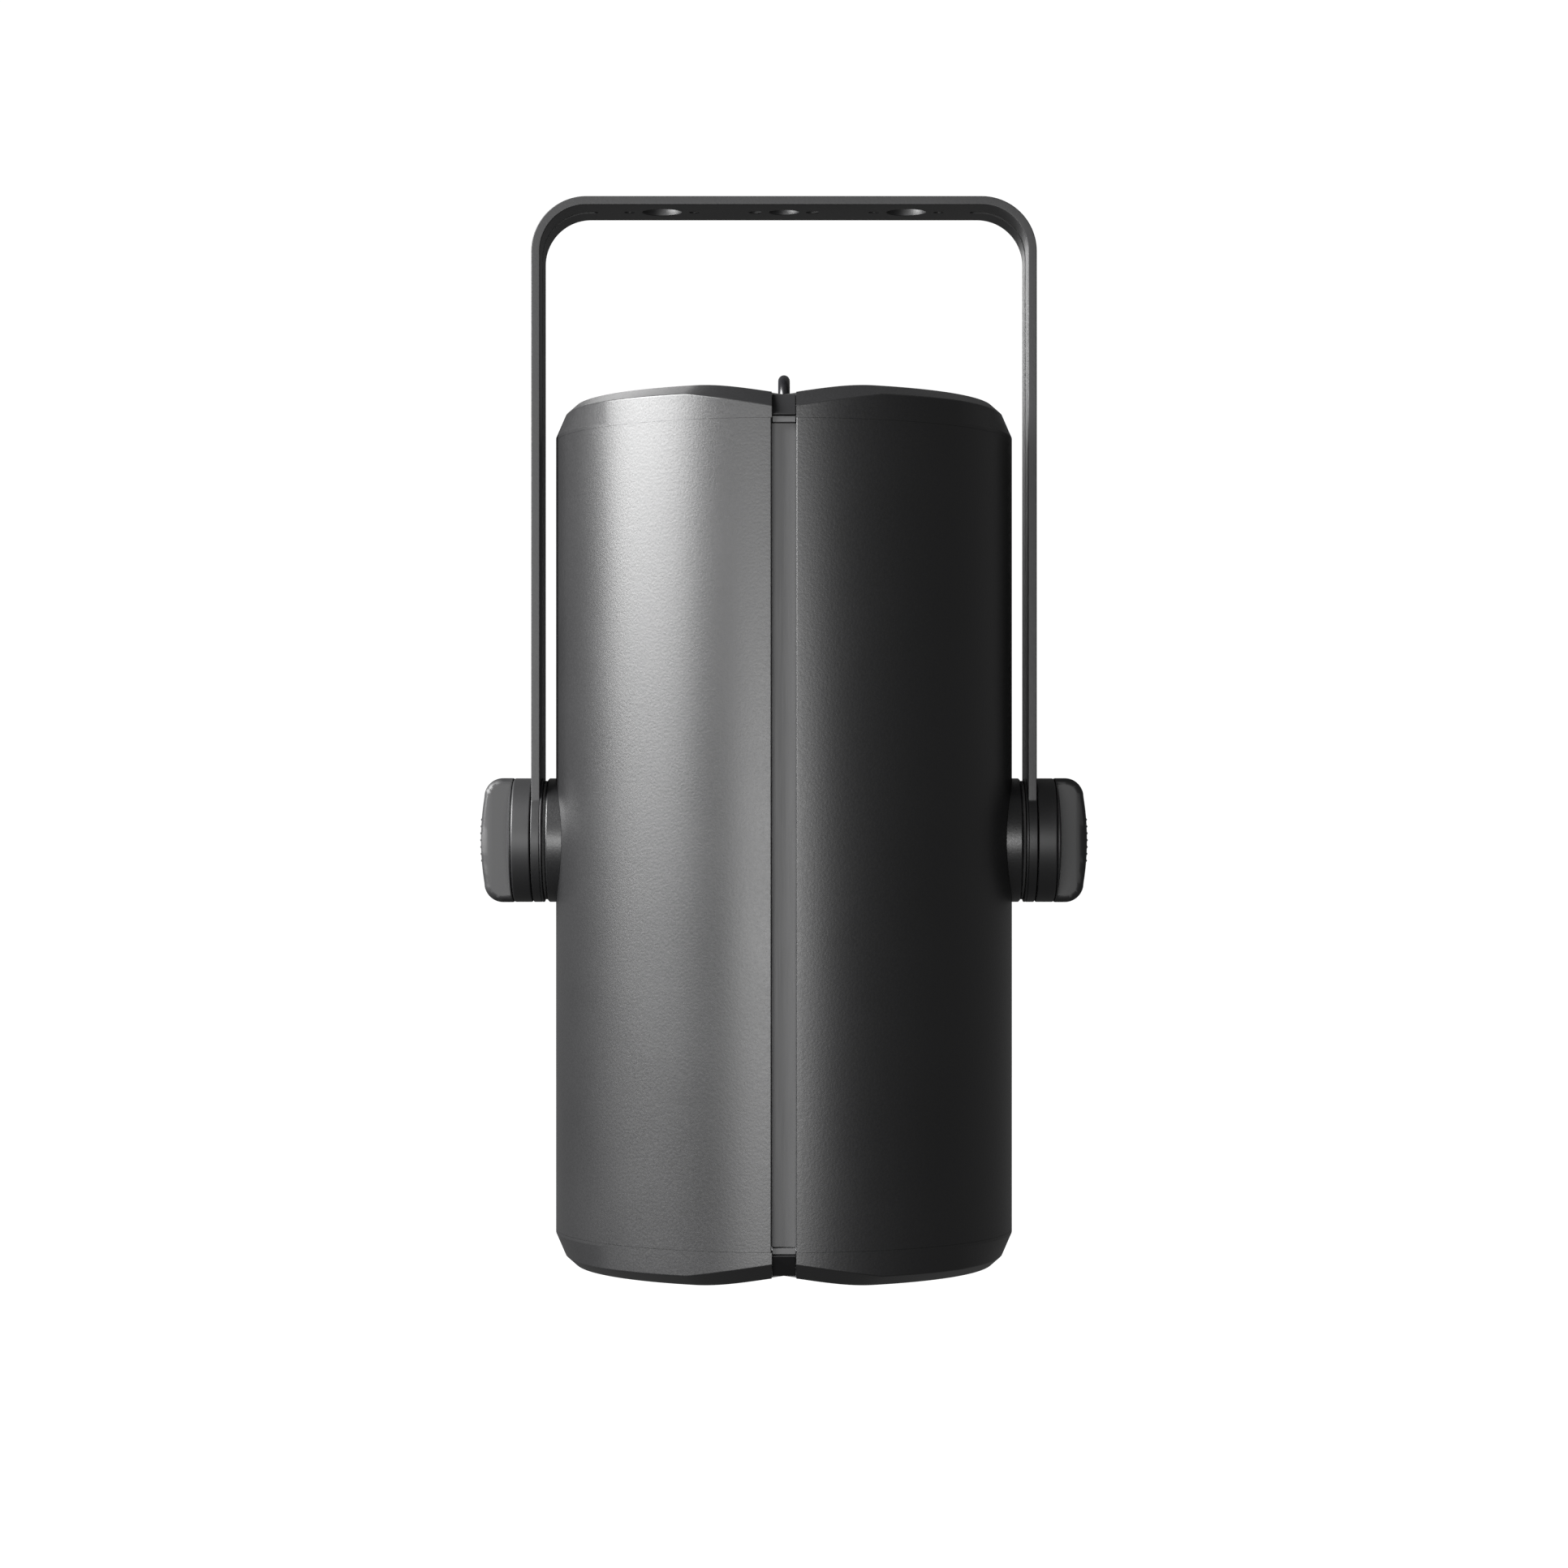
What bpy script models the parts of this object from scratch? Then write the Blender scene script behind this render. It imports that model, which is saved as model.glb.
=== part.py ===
"""A yoke-mounted spotlight: a split cylindrical head that tilts in a bent steel strap.

The origin is the centre of the strap's top face, where the lamp is bolted up.
The lamp hangs below it. The front slot faces -Y and the tilt axis runs along X.
"""
from math import asin, cos, pi, radians, sin, sqrt

import bmesh
import bpy
from mathutils import Vector

MM = 0.001
GAP = 0.3 * MM            # clearance between pieces that touch
FIT = 0.15 * MM           # radial clearance between a screw and its thread
OVERSHOOT = 1.0 * MM      # how far a cutter or a joined shape runs past a face

# Yoke: a strap bent into a U, with round lugs at the pivots
YOKE_DROP = 298.0 * MM    # top face to the tilt axis
ARM_CLEARANCE = 6.4 * MM  # from the head's side to the arm
STRAP_THICK = 4.0 * MM
STRAP_WIDTH = 44.0 * MM
BEND_RADIUS = 25.5 * MM   # outer side of the bend
PIVOT_RADIUS = 29.0 * MM  # lugs, bosses and knobs share it
CENTRE_HOLE_R = 7.0 * MM
CENTRE_PILOT_R = 3.1 * MM
CENTRE_PILOT_X = 13.4 * MM
SIDE_HOLE_R = 9.2 * MM
SIDE_HOLE_INSET = 34.3 * MM   # from the start of the bend
SIDE_PILOT_R = 2.3 * MM
SIDE_PILOT_X = 15.2 * MM
GROOVE_WIDTH = 4.5 * MM
GROOVE_DEPTH = 1.0 * MM
GROOVE_LEAD = 4.5 * MM    # along the top bar, before the bend
GROOVE_END = 42.0 * MM    # above the tilt axis

# Head: two half shells between two end castings
BODY_RADIUS = 106.6 * MM
BODY_HALF = 200.0 * MM    # half of the head's height
BODY_LIFT = 2.3 * MM      # head's middle above the tilt axis
WALL = 4.5 * MM
SLOT_HALF = 5.4 * MM      # half width of the slots in front and behind
END_HEIGHT = 16.4 * MM    # end casting, from its seam to its rim
STRAIGHT = 1.4 * MM       # plain stretch of the end casting above the seam
CHAMFER_RISE = 4.9 * MM   # outer chamfer of the rim
CHAMFER_INSET = 5.1 * MM
TAPER_INSET = 4.5 * MM
TAPER_STARTS = 0.75       # sine of the angle from a slot where the taper starts
TAPER_FULL = 1.0          # the same where it is full
RIM_WIDTH = 9.0 * MM      # flat top of the rim
NOTCH_ANGLE = radians(24.0)
NOTCH_FOOT = 4.5 * MM     # the chamfer's lower edge at the slot, above the seam
NOTCH_TOP = 4.6 * MM      # how far the rim dips at the slot
NOTCH_STEP = 3.3 * MM     # above the seam, where the slot grows deeper
NOTCH_WALL = 4.5 * MM     # between the deeper slot and the rim's inner edge
RECESS = 8.0 * MM         # floor of the top casting below its rim
FLOOR = 4.0 * MM
UNDERCUT = 2.0 * MM       # from the rim to the hollow under the top casting's floor
STEPS = 60                # facets round the head

# Slot strips, with tabs at their ends, and end plugs
STRIP_HALF = 10.0 * MM
STRIP_THICK = 3.0 * MM
STRIP_GAP = 0.4 * MM      # between its face and the shells behind the slot's edges
STRIP_SHORT = 2.2 * MM    # below the seam
TAB_HEIGHT = 2.9 * MM
TAB_PROUD = 3.3 * MM
PLUG_SETBACK = 1.0 * MM
PLUG_LIP = 0.5 * MM       # plain stretch of its front, below the slope
PLUG_TOP_INSET = 1.5 * MM # top of the slope, inside the rim's outer edge

# Inner rings, glass and reflector
RING_HEIGHT = 6.3 * MM
GASKET = 1.0 * MM
FLARE = 6.0 * MM          # the light's mouth widens by this out to the rim
LEDGE = 5.6 * MM
SHELF_RISE = 3.9 * MM     # the glass's shelf below the bottom seam
LIP = 2.5 * MM            # between the shelf and the flare
GLASS_THICK = 5.0 * MM
CLAMP_THICK = 3.0 * MM
CLAMP_WIDTH = 6.5 * MM
REFLECTOR_WALL = 1.2 * MM
THROAT_PLAY = 2.0 * MM    # round the emitter

# Bulkhead, heat sink and light source
BULKHEAD_Z = 40.0 * MM
BULKHEAD_THICK = 4.0 * MM
SINK_SIDE = 17.6 * MM     # from the sink to the pivot anchors
SINK_FRONT = 46.5 * MM    # from the sink to the shell, front and rear
SINK_HEIGHT = 99.4 * MM
SINK_BASE = 10.0 * MM
FIN_COUNT = 13
FIN_THICK = 3.0 * MM
BOARD_RADIUS = 36.0 * MM
BOARD_THICK = 1.6 * MM
EMITTER_RADIUS = 13.0 * MM
EMITTER_THICK = 1.6 * MM

# Driver tray, between the tie rods
TRAY_SIDE = 9.7 * MM      # from its edge to the middle of a tie rod
TRAY_Y = 8.0 * MM
TRAY_THICK = 2.0 * MM
TRAY_FOOT = 30.0 * MM
TRAY_HEADROOM = 19.7 * MM # below the top casting's floor
DRIVER_THICK = 40.0 * MM
DRIVER_INSET = Vector((14.0, 10.0)) * MM    # from the tray's edges
CONTROL_THICK = 1.6 * MM
CONTROL_INSET = Vector((8.0, 20.0)) * MM
TERMINAL = Vector((30.0, 10.0, 14.0)) * MM

# Fasteners
TIE_RADIUS = 4.0 * MM
TIE_INSET = 12.0 * MM     # from the rim's inner edge
SCREW_R = 2.0 * MM
HEAD_R = 3.6 * MM
HEAD_HEIGHT = 4.0 * MM
SOCKET_R = 1.9 * MM
SOCKET_DEPTH = 2.2 * MM
BEZEL_INSET = 4.0 * MM    # from the rim's outer edge
THREAD_DEPTH = 9.0 * MM
THREAD_SPARE = 2.0 * MM   # thread left below a screw's tip

# Tilt pivot, from the head outwards
SPIGOT_R = 12.0 * MM
PAD_INSET = 1.2 * MM      # the pad's edge inside the boss's
PAD_THICK = 1.1 * MM
WASHER_THICK = 0.7 * MM
STUD_R = 4.85 * MM
STUD_HEAD_R = 8.0 * MM
STUD_HEAD = 4.0 * MM
ANCHOR_THICK = 15.0 * MM
ANCHOR_HALF_Y = 24.0 * MM
ANCHOR_DEPTH = 30.0 * MM  # below the tilt axis

# Clamp knobs
KNOB_GAP = 0.5 * MM
COLLAR_LENGTH = 8.8 * MM
GRIP_LENGTH = 15.0 * MM
GRIP_STRAIGHT = 4.6 * MM
GRIP_SHOULDER = 9.0 * MM  # width of the rounded shoulder round its end
GRIP_DOME = 1.6 * MM
GRIP_HALF = 8.5 * MM      # half thickness of the bar
GRIP_EDGE = 3.5 * MM
GRIP_WALL = 1.7 * MM      # beside the insert
INSERT_LENGTH = 19.0 * MM
RIB_COUNT = 7
RIB_PITCH = 3.2 * MM
RIB_WIDTH = 1.4 * MM
RIB_LENGTH = 8.0 * MM
RIB_PROUD = 0.7 * MM

# Fittings on the top casting
LOOP_ROD_R = 2.75 * MM
LOOP_HALF = 13.0 * MM     # half distance between the loop's legs
LOOP_TOP = 15.4 * MM      # above the rim
LOOP_BASE = Vector((18.0, 44.0, 3.0)) * MM
INLET_Y = 50.0 * MM
INLET_FLANGE_R = 15.0 * MM
INLET_R = 10.5 * MM
INLET_BORE_R = 8.5 * MM
INLET_RISE = 14.0 * MM
INLET_FLANGE = 3.0 * MM
INLET_DROP = 3.0 * MM     # inlet and vent below the floor's underside
SOCKET_RISE = 5.0 * MM    # top of the inlet's core above its flange seat
VENT_Y = -48.0 * MM
VENT_R = 8.0 * MM
VENT_SHANK_R = 5.5 * MM
VENT_HEIGHT = 5.0 * MM
LEAD_RADIUS = 2.0 * MM
LEAD_PLAY = 2.0 * MM
LEAD_OFFSET = 17.0 * MM   # from the heat sink to the lead beside it

# Values that follow
ARM_INSIDE = BODY_RADIUS + ARM_CLEARANCE
ARM_OUTSIDE = ARM_INSIDE + STRAP_THICK
BEND_X = ARM_OUTSIDE - BEND_RADIUS
SIDE_HOLE_X = BEND_X - SIDE_HOLE_INSET
INNER_RADIUS = BODY_RADIUS - WALL
FIT_RADIUS = INNER_RADIUS - 2 * GAP
SEAM_Z = BODY_HALF - END_HEIGHT
FLOOR_Z = BODY_HALF - RECESS
RIM_OUTER = BODY_RADIUS - TAPER_INSET - CHAMFER_INSET
RIM_INNER = RIM_OUTER - RIM_WIDTH
CHAMFER_Z = BODY_HALF - CHAMFER_RISE
NOTCH_BACK = RIM_INNER + NOTCH_WALL
STRIP_FACE = sqrt(INNER_RADIUS ** 2 - STRIP_HALF ** 2) - STRIP_GAP
STRIP_BACK = STRIP_FACE - STRIP_THICK
CHANNEL = STRIP_BACK - 2 * GAP
STRIP_END = SEAM_Z - STRIP_SHORT
LIGHT_RADIUS = RIM_INNER - FLARE
SHELF_Z = SEAM_Z + SHELF_RISE
RING_TOP = SEAM_Z - GASKET - 2 * GAP
RING_INNER = LIGHT_RADIUS + LEDGE + 2 * GAP
TIE_CIRCLE = RIM_INNER - TIE_INSET
BEZEL_CIRCLE = RIM_OUTER - BEZEL_INSET
TRAY_HALF = TIE_CIRCLE / sqrt(2) - TRAY_SIDE
TRAY_BOTTOM = BULKHEAD_Z + BULKHEAD_THICK + GAP
TRAY_TOP = FLOOR_Z - FLOOR - TRAY_HEADROOM
SINK_BOTTOM = BULKHEAD_Z - GAP - SINK_HEIGHT
BOARD_BOTTOM = SINK_BOTTOM - GAP - BOARD_THICK
BOSS_FACE = ARM_INSIDE - GAP - WASHER_THICK - GAP - PAD_THICK - GAP
ANCHOR_OUT = sqrt(FIT_RADIUS ** 2 - ANCHOR_HALF_Y ** 2)
ANCHOR_IN = ANCHOR_OUT - ANCHOR_THICK
SINK_HALF_X = ANCHOR_IN - SINK_SIDE
SINK_HALF_Y = FIT_RADIUS - SINK_FRONT
LEAD_Y = SINK_HALF_Y + LEAD_OFFSET
KNOB_START = ARM_OUTSIDE + KNOB_GAP
GRIP_START = KNOB_START + COLLAR_LENGTH + GAP
GRIP_END = GRIP_START + GRIP_LENGTH
GRIP_TOP_R = PIVOT_RADIUS - GRIP_SHOULDER
INSERT_R = GRIP_HALF - GRIP_WALL
STUD_HOLE_R = STUD_R + FIT
TAP_R = SCREW_R + FIT

PARTS = "yoke_spotlight"
CUTTERS = "cutters"
SIDES = {"left": -1, "right": 1}
FACES = {"front": -1, "rear": 1}


# Scene, materials and shared shapes

def clear_scene():
    for obj in list(bpy.data.objects):
        bpy.data.objects.remove(obj, do_unlink=True)
    for name in (PARTS, CUTTERS):
        bpy.context.scene.collection.children.link(bpy.data.collections.new(name))


def material(name, colour, roughness, metallic=0.0, alpha=1.0):
    mat = bpy.data.materials.new(name)
    mat.use_nodes = True
    shader = mat.node_tree.nodes["Principled BSDF"]
    shader.inputs["Base Color"].default_value = (*colour, 1.0)
    shader.inputs["Roughness"].default_value = roughness
    shader.inputs["Metallic"].default_value = metallic
    shader.inputs["Alpha"].default_value = alpha
    return mat


def new_object(name, bm, collection=PARTS):
    mesh = bpy.data.meshes.new(name)
    bm.to_mesh(mesh)
    bm.free()
    obj = bpy.data.objects.new(name, mesh)
    bpy.data.collections[collection].objects.link(obj)
    return obj


def as_cutter(obj):
    for collection in list(obj.users_collection):
        collection.objects.unlink(obj)
    bpy.data.collections[CUTTERS].objects.link(obj)
    obj.hide_render = True
    obj.display_type = "WIRE"
    return obj


def block(name, low, high):
    bm = bmesh.new()
    bmesh.ops.create_cube(bm, size=1.0)
    low, high = Vector(low), Vector(high)
    bmesh.ops.scale(bm, vec=high - low, verts=bm.verts)
    bmesh.ops.translate(bm, vec=(low + high) / 2, verts=bm.verts)
    return new_object(name, bm)


def rod(name, radius, low, high, place=(0.0, 0.0), steps=24):
    """An upright cylinder from low to high."""
    bm = bmesh.new()
    bmesh.ops.create_cone(bm, cap_ends=True, segments=steps, radius1=radius,
                          radius2=radius, depth=high - low)
    bmesh.ops.translate(bm, vec=(*place, (low + high) / 2), verts=bm.verts)
    return new_object(name, bm)


def turned(name, profile, steps=32, closed=False):
    """Turn (radius, height) points round Z; they run down the outer side."""
    bm = bmesh.new()
    points = [bm.verts.new((radius, 0.0, height)) for radius, height in profile]
    for first, second in zip(points, points[1:]):
        bm.edges.new((first, second))
    if closed:
        bm.edges.new((points[-1], points[0]))
    obj = new_object(name, bm)
    screw = obj.modifiers.new("turn", "SCREW")
    screw.steps = screw.render_steps = steps
    screw.use_merge_vertices = True
    screw.merge_threshold = 0.00001
    return obj


def ring(name, inner, outer, low, high, steps=32):
    profile = [(outer, high), (outer, low), (inner, low), (inner, high)]
    return turned(name, profile, steps, closed=True)


def flat_outline(name, points, low, high, axis="Z"):
    """Extrude an outline along axis: (x, y) for Z, (x, z) for Y, (y, z) for X."""
    curve = bpy.data.curves.new(name, "CURVE")
    curve.dimensions = "2D"
    curve.fill_mode = "BOTH"
    curve.extrude = (high - low) / 2
    spline = curve.splines.new("POLY")
    spline.points.add(len(points) - 1)
    for point, (first, second) in zip(spline.points, points):
        point.co = (first, second, 0.0, 1.0)
    spline.use_cyclic_u = True
    middle = (low + high) / 2
    obj = bpy.data.objects.new(name, curve)
    bpy.data.collections[PARTS].objects.link(obj)
    if axis == "X":
        obj.rotation_euler = (pi / 2, 0.0, pi / 2)
        obj.location.x = middle
    elif axis == "Y":
        obj.rotation_euler = (pi / 2, 0.0, 0.0)
        obj.location.y = middle
    else:
        obj.location.z = middle
    return as_mesh(obj)


def face_outwards(bm):
    bmesh.ops.recalc_face_normals(bm, faces=bm.faces)
    if bm.calc_volume(signed=True) < 0.0:
        bmesh.ops.reverse_faces(bm, faces=bm.faces)


def as_mesh(obj):
    """Replace a curve object by its welded mesh."""
    bpy.context.view_layer.update()
    graph = bpy.context.evaluated_depsgraph_get()
    bm = bmesh.new()
    bm.from_mesh(bpy.data.meshes.new_from_object(obj.evaluated_get(graph)))
    bmesh.ops.remove_doubles(bm, verts=bm.verts, dist=0.000001)
    face_outwards(bm)
    name, matrix = obj.name, obj.matrix_world.copy()
    bpy.data.objects.remove(obj, do_unlink=True)
    result = new_object(name, bm)
    result.matrix_world = matrix
    return result


def wire(name, points, radius):
    """A round rod along a list of points."""
    curve = bpy.data.curves.new(name, "CURVE")
    curve.dimensions = "3D"
    curve.bevel_depth = radius
    curve.bevel_resolution = 2
    curve.use_fill_caps = True
    spline = curve.splines.new("POLY")
    spline.points.add(len(points) - 1)
    for point, place in zip(spline.points, points):
        point.co = (*place, 1.0)
    obj = bpy.data.objects.new(name, curve)
    bpy.data.collections[PARTS].objects.link(obj)
    return as_mesh(obj)


def boolean(obj, other, operation="DIFFERENCE"):
    step = obj.modifiers.new(other.name, "BOOLEAN")
    step.operation = operation
    step.solver = "EXACT"
    step.object = as_cutter(other)
    return obj


def place(obj, mat, parent=None, smooth=True):
    """Give a piece its material and shading, and hang it on its parent."""
    obj.data.materials.clear()
    obj.data.materials.append(mat)
    if smooth:
        obj.data.shade_smooth()
        obj.data.set_sharp_from_angle(angle=radians(35.0))
    if parent:
        obj.parent = parent
        for step in obj.modifiers:
            if step.type == "BOOLEAN" and step.object and not step.object.parent:
                step.object.parent = parent
    return obj


def empty(name, location, parent=None):
    obj = bpy.data.objects.new(name, None)
    bpy.data.collections[PARTS].objects.link(obj)
    obj.location = location
    obj.parent = parent
    return obj


def arc(centre, radius, start, end, count):
    step = (end - start) / count
    angles = [start + step * index for index in range(count + 1)]
    return [(centre[0] + radius * cos(a), centre[1] + radius * sin(a)) for a in angles]


def round_places(circle):
    return [(circle * cos(radians(a)), circle * sin(radians(a))) for a in (45, 135, 225, 315)]


# Yoke

def strap_surface(name, path, half_width, thickness):
    """A sheet along a path in the XZ plane, thickened towards the inside of the bend."""
    bm = bmesh.new()
    near = [bm.verts.new((x, -half_width, z)) for x, z in path]
    far = [bm.verts.new((x, half_width, z)) for x, z in path]
    for index in range(len(path) - 1):
        bm.faces.new((near[index], near[index + 1], far[index + 1], far[index]))
    obj = new_object(name, bm)
    solid = obj.modifiers.new("thickness", "SOLIDIFY")
    solid.thickness = thickness
    solid.offset = -1.0
    solid.use_even_offset = True
    return obj


def bend_path(inset, start_x, end_z, count=9):
    """Right half of the strap's path, from the top bar round the bend and down the arm."""
    corner = (BEND_X, -BEND_RADIUS)
    curve = arc(corner, BEND_RADIUS - inset, pi / 2, 0.0, count)
    return [(start_x, -inset), *curve, (ARM_OUTSIDE - inset, end_z)]


def mirrored(path):
    return [(-x, z) for x, z in reversed(path)]


def make_yoke(steel):
    below = -YOKE_DROP - PIVOT_RADIUS - OVERSHOOT
    right = bend_path(0.0, 0.0, below)
    yoke = strap_surface("yoke", mirrored(right)[:-1] + right[1:], PIVOT_RADIUS + OVERSHOOT,
                         STRAP_THICK)
    half = STRAP_WIDTH / 2
    meet = asin(half / PIVOT_RADIUS)
    lug = arc((0.0, -YOKE_DROP), PIVOT_RADIUS, pi / 2 - meet, -3 * pi / 2 + meet, 30)
    outline = [(-half, OVERSHOOT), (half, OVERSHOOT), *lug]
    reach = ARM_OUTSIDE + OVERSHOOT
    boolean(yoke, flat_outline("yoke_side_outline", outline, -reach, reach, "X"), "INTERSECT")
    cut_top_holes(yoke)
    for side, sign in SIDES.items():
        path = bend_path(STRAP_THICK - GROOVE_DEPTH, BEND_X - GROOVE_LEAD,
                         GROOVE_END - YOKE_DROP)
        path = path if sign > 0 else mirrored(path)
        groove = strap_surface("groove_" + side, path, GROOVE_WIDTH / 2, 2 * GROOVE_DEPTH)
        boolean(yoke, groove)
        hole = rod("lug_hole_" + side, STUD_HOLE_R + GAP, ARM_INSIDE - OVERSHOOT, reach)
        hole.rotation_euler.y = sign * pi / 2
        hole.location.z = -YOKE_DROP
        boolean(yoke, hole)
    return place(yoke, steel)


def cut_top_holes(yoke):
    holes = {"centre": (0.0, CENTRE_HOLE_R)}
    for side, sign in SIDES.items():
        middle = sign * SIDE_HOLE_X
        holes["side_" + side] = (middle, SIDE_HOLE_R)
        holes["pilot_centre_" + side] = (sign * CENTRE_PILOT_X, CENTRE_PILOT_R)
        holes["pilot_inner_" + side] = (middle - sign * SIDE_PILOT_X, SIDE_PILOT_R)
        holes["pilot_outer_" + side] = (middle + sign * SIDE_PILOT_X, SIDE_PILOT_R)
    for name, (x, radius) in holes.items():
        hole = rod("hole_" + name, radius, -2 * STRAP_THICK, STRAP_THICK, (x, 0.0), 20)
        boolean(yoke, hole)


# Head castings

def make_shells(paint, head):
    for side, sign in SIDES.items():
        top = SEAM_Z - GAP
        bm = bmesh.new()
        upper = bm.verts.new((BODY_RADIUS, 0.0, top))
        lower = bm.verts.new((BODY_RADIUS, 0.0, -top))
        bm.edges.new((upper, lower))
        shell = new_object("shell_" + side, bm)
        shell.rotation_euler.z = -sign * pi / 2
        sweep = shell.modifiers.new("sweep", "SCREW")
        sweep.angle = pi
        sweep.steps = sweep.render_steps = STEPS // 2
        wall = shell.modifiers.new("wall", "SOLIDIFY")
        wall.thickness = WALL
        wall.offset = -1.0
        wall.use_even_offset = True
        reach = BODY_RADIUS + WALL
        slot = block("slot_" + side, (-SLOT_HALF, -reach, -BODY_HALF),
                     (SLOT_HALF, reach, BODY_HALF))
        boolean(shell, slot)
        hole = rod("spigot_hole_" + side, SPIGOT_R + GAP, ANCHOR_IN, reach)
        hole.rotation_euler.y = sign * pi / 2
        hole.location.z = -BODY_LIFT
        boolean(shell, hole)
        place(shell, paint, head)


def notch_share(angle):
    """1 at the slots in front and behind, 0 where the rim is plain."""
    return max(0.0, 1.0 - abs(sin(angle)) / sin(NOTCH_ANGLE))


def chamfer_edge(angle):
    """Lower edge of the rim's chamfer: it dips at the slots, where the taper fades out too."""
    height = CHAMFER_Z - (CHAMFER_Z - SEAM_Z - NOTCH_FOOT) * notch_share(angle)
    share = (height - SEAM_Z - STRAIGHT) / (CHAMFER_Z - SEAM_Z - STRAIGHT)
    aside = (abs(sin(angle)) - TAPER_STARTS) / (TAPER_FULL - TAPER_STARTS)
    aside = min(max(aside, 0.0), 1.0)
    return BODY_RADIUS - TAPER_INSET * share * aside, height


def rim_edge(radius):
    return lambda angle: (radius, BODY_HALF - NOTCH_TOP * notch_share(angle))


def level(radius, height):
    return lambda angle: (radius, height)


def casting(name, rings, up, closed):
    """Loft rings of points whose height changes round the rim."""
    bm = bmesh.new()
    loops = []
    for edge in rings:
        loop = []
        for index in range(STEPS):
            angle = 2 * pi * index / STEPS
            radius, height = edge(angle)
            loop.append(bm.verts.new((radius * sin(angle), -radius * cos(angle), up * height)))
        loops.append(loop)
    pairs = list(zip(loops, loops[1:]))
    if closed:
        pairs.append((loops[-1], loops[0]))
    else:
        bm.faces.new(loops[0])
        bm.faces.new(loops[-1])
    for below, above in pairs:
        for index in range(STEPS):
            after = (index + 1) % STEPS
            bm.faces.new((below[index], below[after], above[after], above[index]))
    face_outwards(bm)
    return new_object(name, bm)


def outer_rings():
    seam = SEAM_Z + GAP
    return [level(BODY_RADIUS, seam), level(BODY_RADIUS, SEAM_Z + STRAIGHT), chamfer_edge,
            rim_edge(RIM_OUTER), rim_edge(RIM_INNER)]


def cut_slots(obj, up):
    """Notches where the slots run on through an end casting, deeper in its upper part."""
    steps = {"low": (CHANNEL, SEAM_Z - GAP), "deep": (NOTCH_BACK, SEAM_Z + NOTCH_STEP)}
    for face, sign in FACES.items():
        for depth, (back, foot) in steps.items():
            low, high = sorted((up * foot, up * (BODY_HALF + GAP)))
            near, far = sorted((sign * back, sign * (BODY_RADIUS + WALL)))
            cutter = block(f"{obj.name}_slot_{face}_{depth}", (-SLOT_HALF, near, low),
                           (SLOT_HALF, far, high))
            boolean(obj, cutter)


def make_top_cap(paint, head):
    under = RIM_INNER - UNDERCUT
    seam = SEAM_Z + GAP
    rings = [level(under, FLOOR_Z - FLOOR), level(under, seam), *outer_rings(),
             level(RIM_INNER, FLOOR_Z)]
    cap = casting("top_cap", rings, 1, closed=False)
    cut_slots(cap, 1)
    below, above = FLOOR_Z - 2 * FLOOR, FLOOR_Z + FLOOR
    for number, spot in enumerate(round_places(TIE_CIRCLE), 1):
        boolean(cap, rod(f"cap_hole_{number}", SCREW_R + GAP, below, above, spot, 16))
    boolean(cap, rod("inlet_hole", INLET_R + GAP, below, above, (0.0, INLET_Y)))
    boolean(cap, rod("vent_hole", VENT_SHANK_R + GAP, below, above, (0.0, VENT_Y)))
    place(cap, paint, head)


def make_bezel(paint, head):
    ledge = LIGHT_RADIUS + LEDGE
    rings = [*outer_rings(), level(LIGHT_RADIUS, SHELF_Z + LIP), level(LIGHT_RADIUS, SHELF_Z),
             level(ledge, SHELF_Z), level(ledge, SEAM_Z + GAP)]
    bezel = casting("bottom_bezel", rings, -1, closed=True)
    cut_slots(bezel, -1)
    for number, spot in enumerate(round_places(BEZEL_CIRCLE), 1):
        mouth = -BODY_HALF - GAP
        sink = rod(f"bezel_sink_{number}", HEAD_R + GAP, mouth,
                   -BODY_HALF + HEAD_HEIGHT + 2 * GAP, spot, 24)
        hole = rod(f"bezel_hole_{number}", SCREW_R + GAP, mouth, -SEAM_Z + GAP, spot, 16)
        boolean(bezel, sink)
        boolean(bezel, hole)
    place(bezel, paint, head)


def make_slot_trim(trim, dark, head):
    """A strip behind each slot, with a tab bent out at each end, and a plug beyond each tab."""
    tab_low = STRIP_END + GAP
    tab_high = tab_low + TAB_HEIGHT
    half = SLOT_HALF - GAP
    for face, sign in FACES.items():
        near, far = sorted((sign * STRIP_BACK, sign * STRIP_FACE))
        strip = block(f"{face}_strip", (-STRIP_HALF, near, -tab_low), (STRIP_HALF, far, tab_low))
        for end, up in (("upper", 1), ("lower", -1)):
            low, high = sorted((up * (tab_low - OVERSHOOT), up * tab_high))
            near, far = sorted((sign * STRIP_BACK, sign * (STRIP_FACE + TAB_PROUD)))
            tab = block(f"{face}_{end}_tab", (-half, near, low), (half, far, high))
            boolean(strip, tab, "UNION")
            make_plug(face, sign, end, up, tab_high + GAP, dark, head)
        place(strip, trim, head, smooth=False)


def make_plug(face, sign, end, up, foot, dark, head):
    """It fills the notch in the casting and slopes back to the rim, just inside its chamfer."""
    half = SLOT_HALF - GAP
    front = chamfer_edge(0.0)[0] - PLUG_SETBACK
    back = NOTCH_BACK + GAP
    hook = SEAM_Z + NOTCH_STEP + GAP
    top = BODY_HALF - NOTCH_TOP - GAP
    outline = [(STRIP_BACK, foot), (front, foot), (front, foot + PLUG_LIP),
               (RIM_OUTER - PLUG_TOP_INSET, top), (back, top), (back, hook), (STRIP_BACK, hook)]
    points = [(sign * y, up * z) for y, z in outline]
    plug = flat_outline(f"{face}_{end}_plug", points, -half, half, "X")
    place(plug, dark, head, smooth=False)


# Rings, glass and reflector

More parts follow.
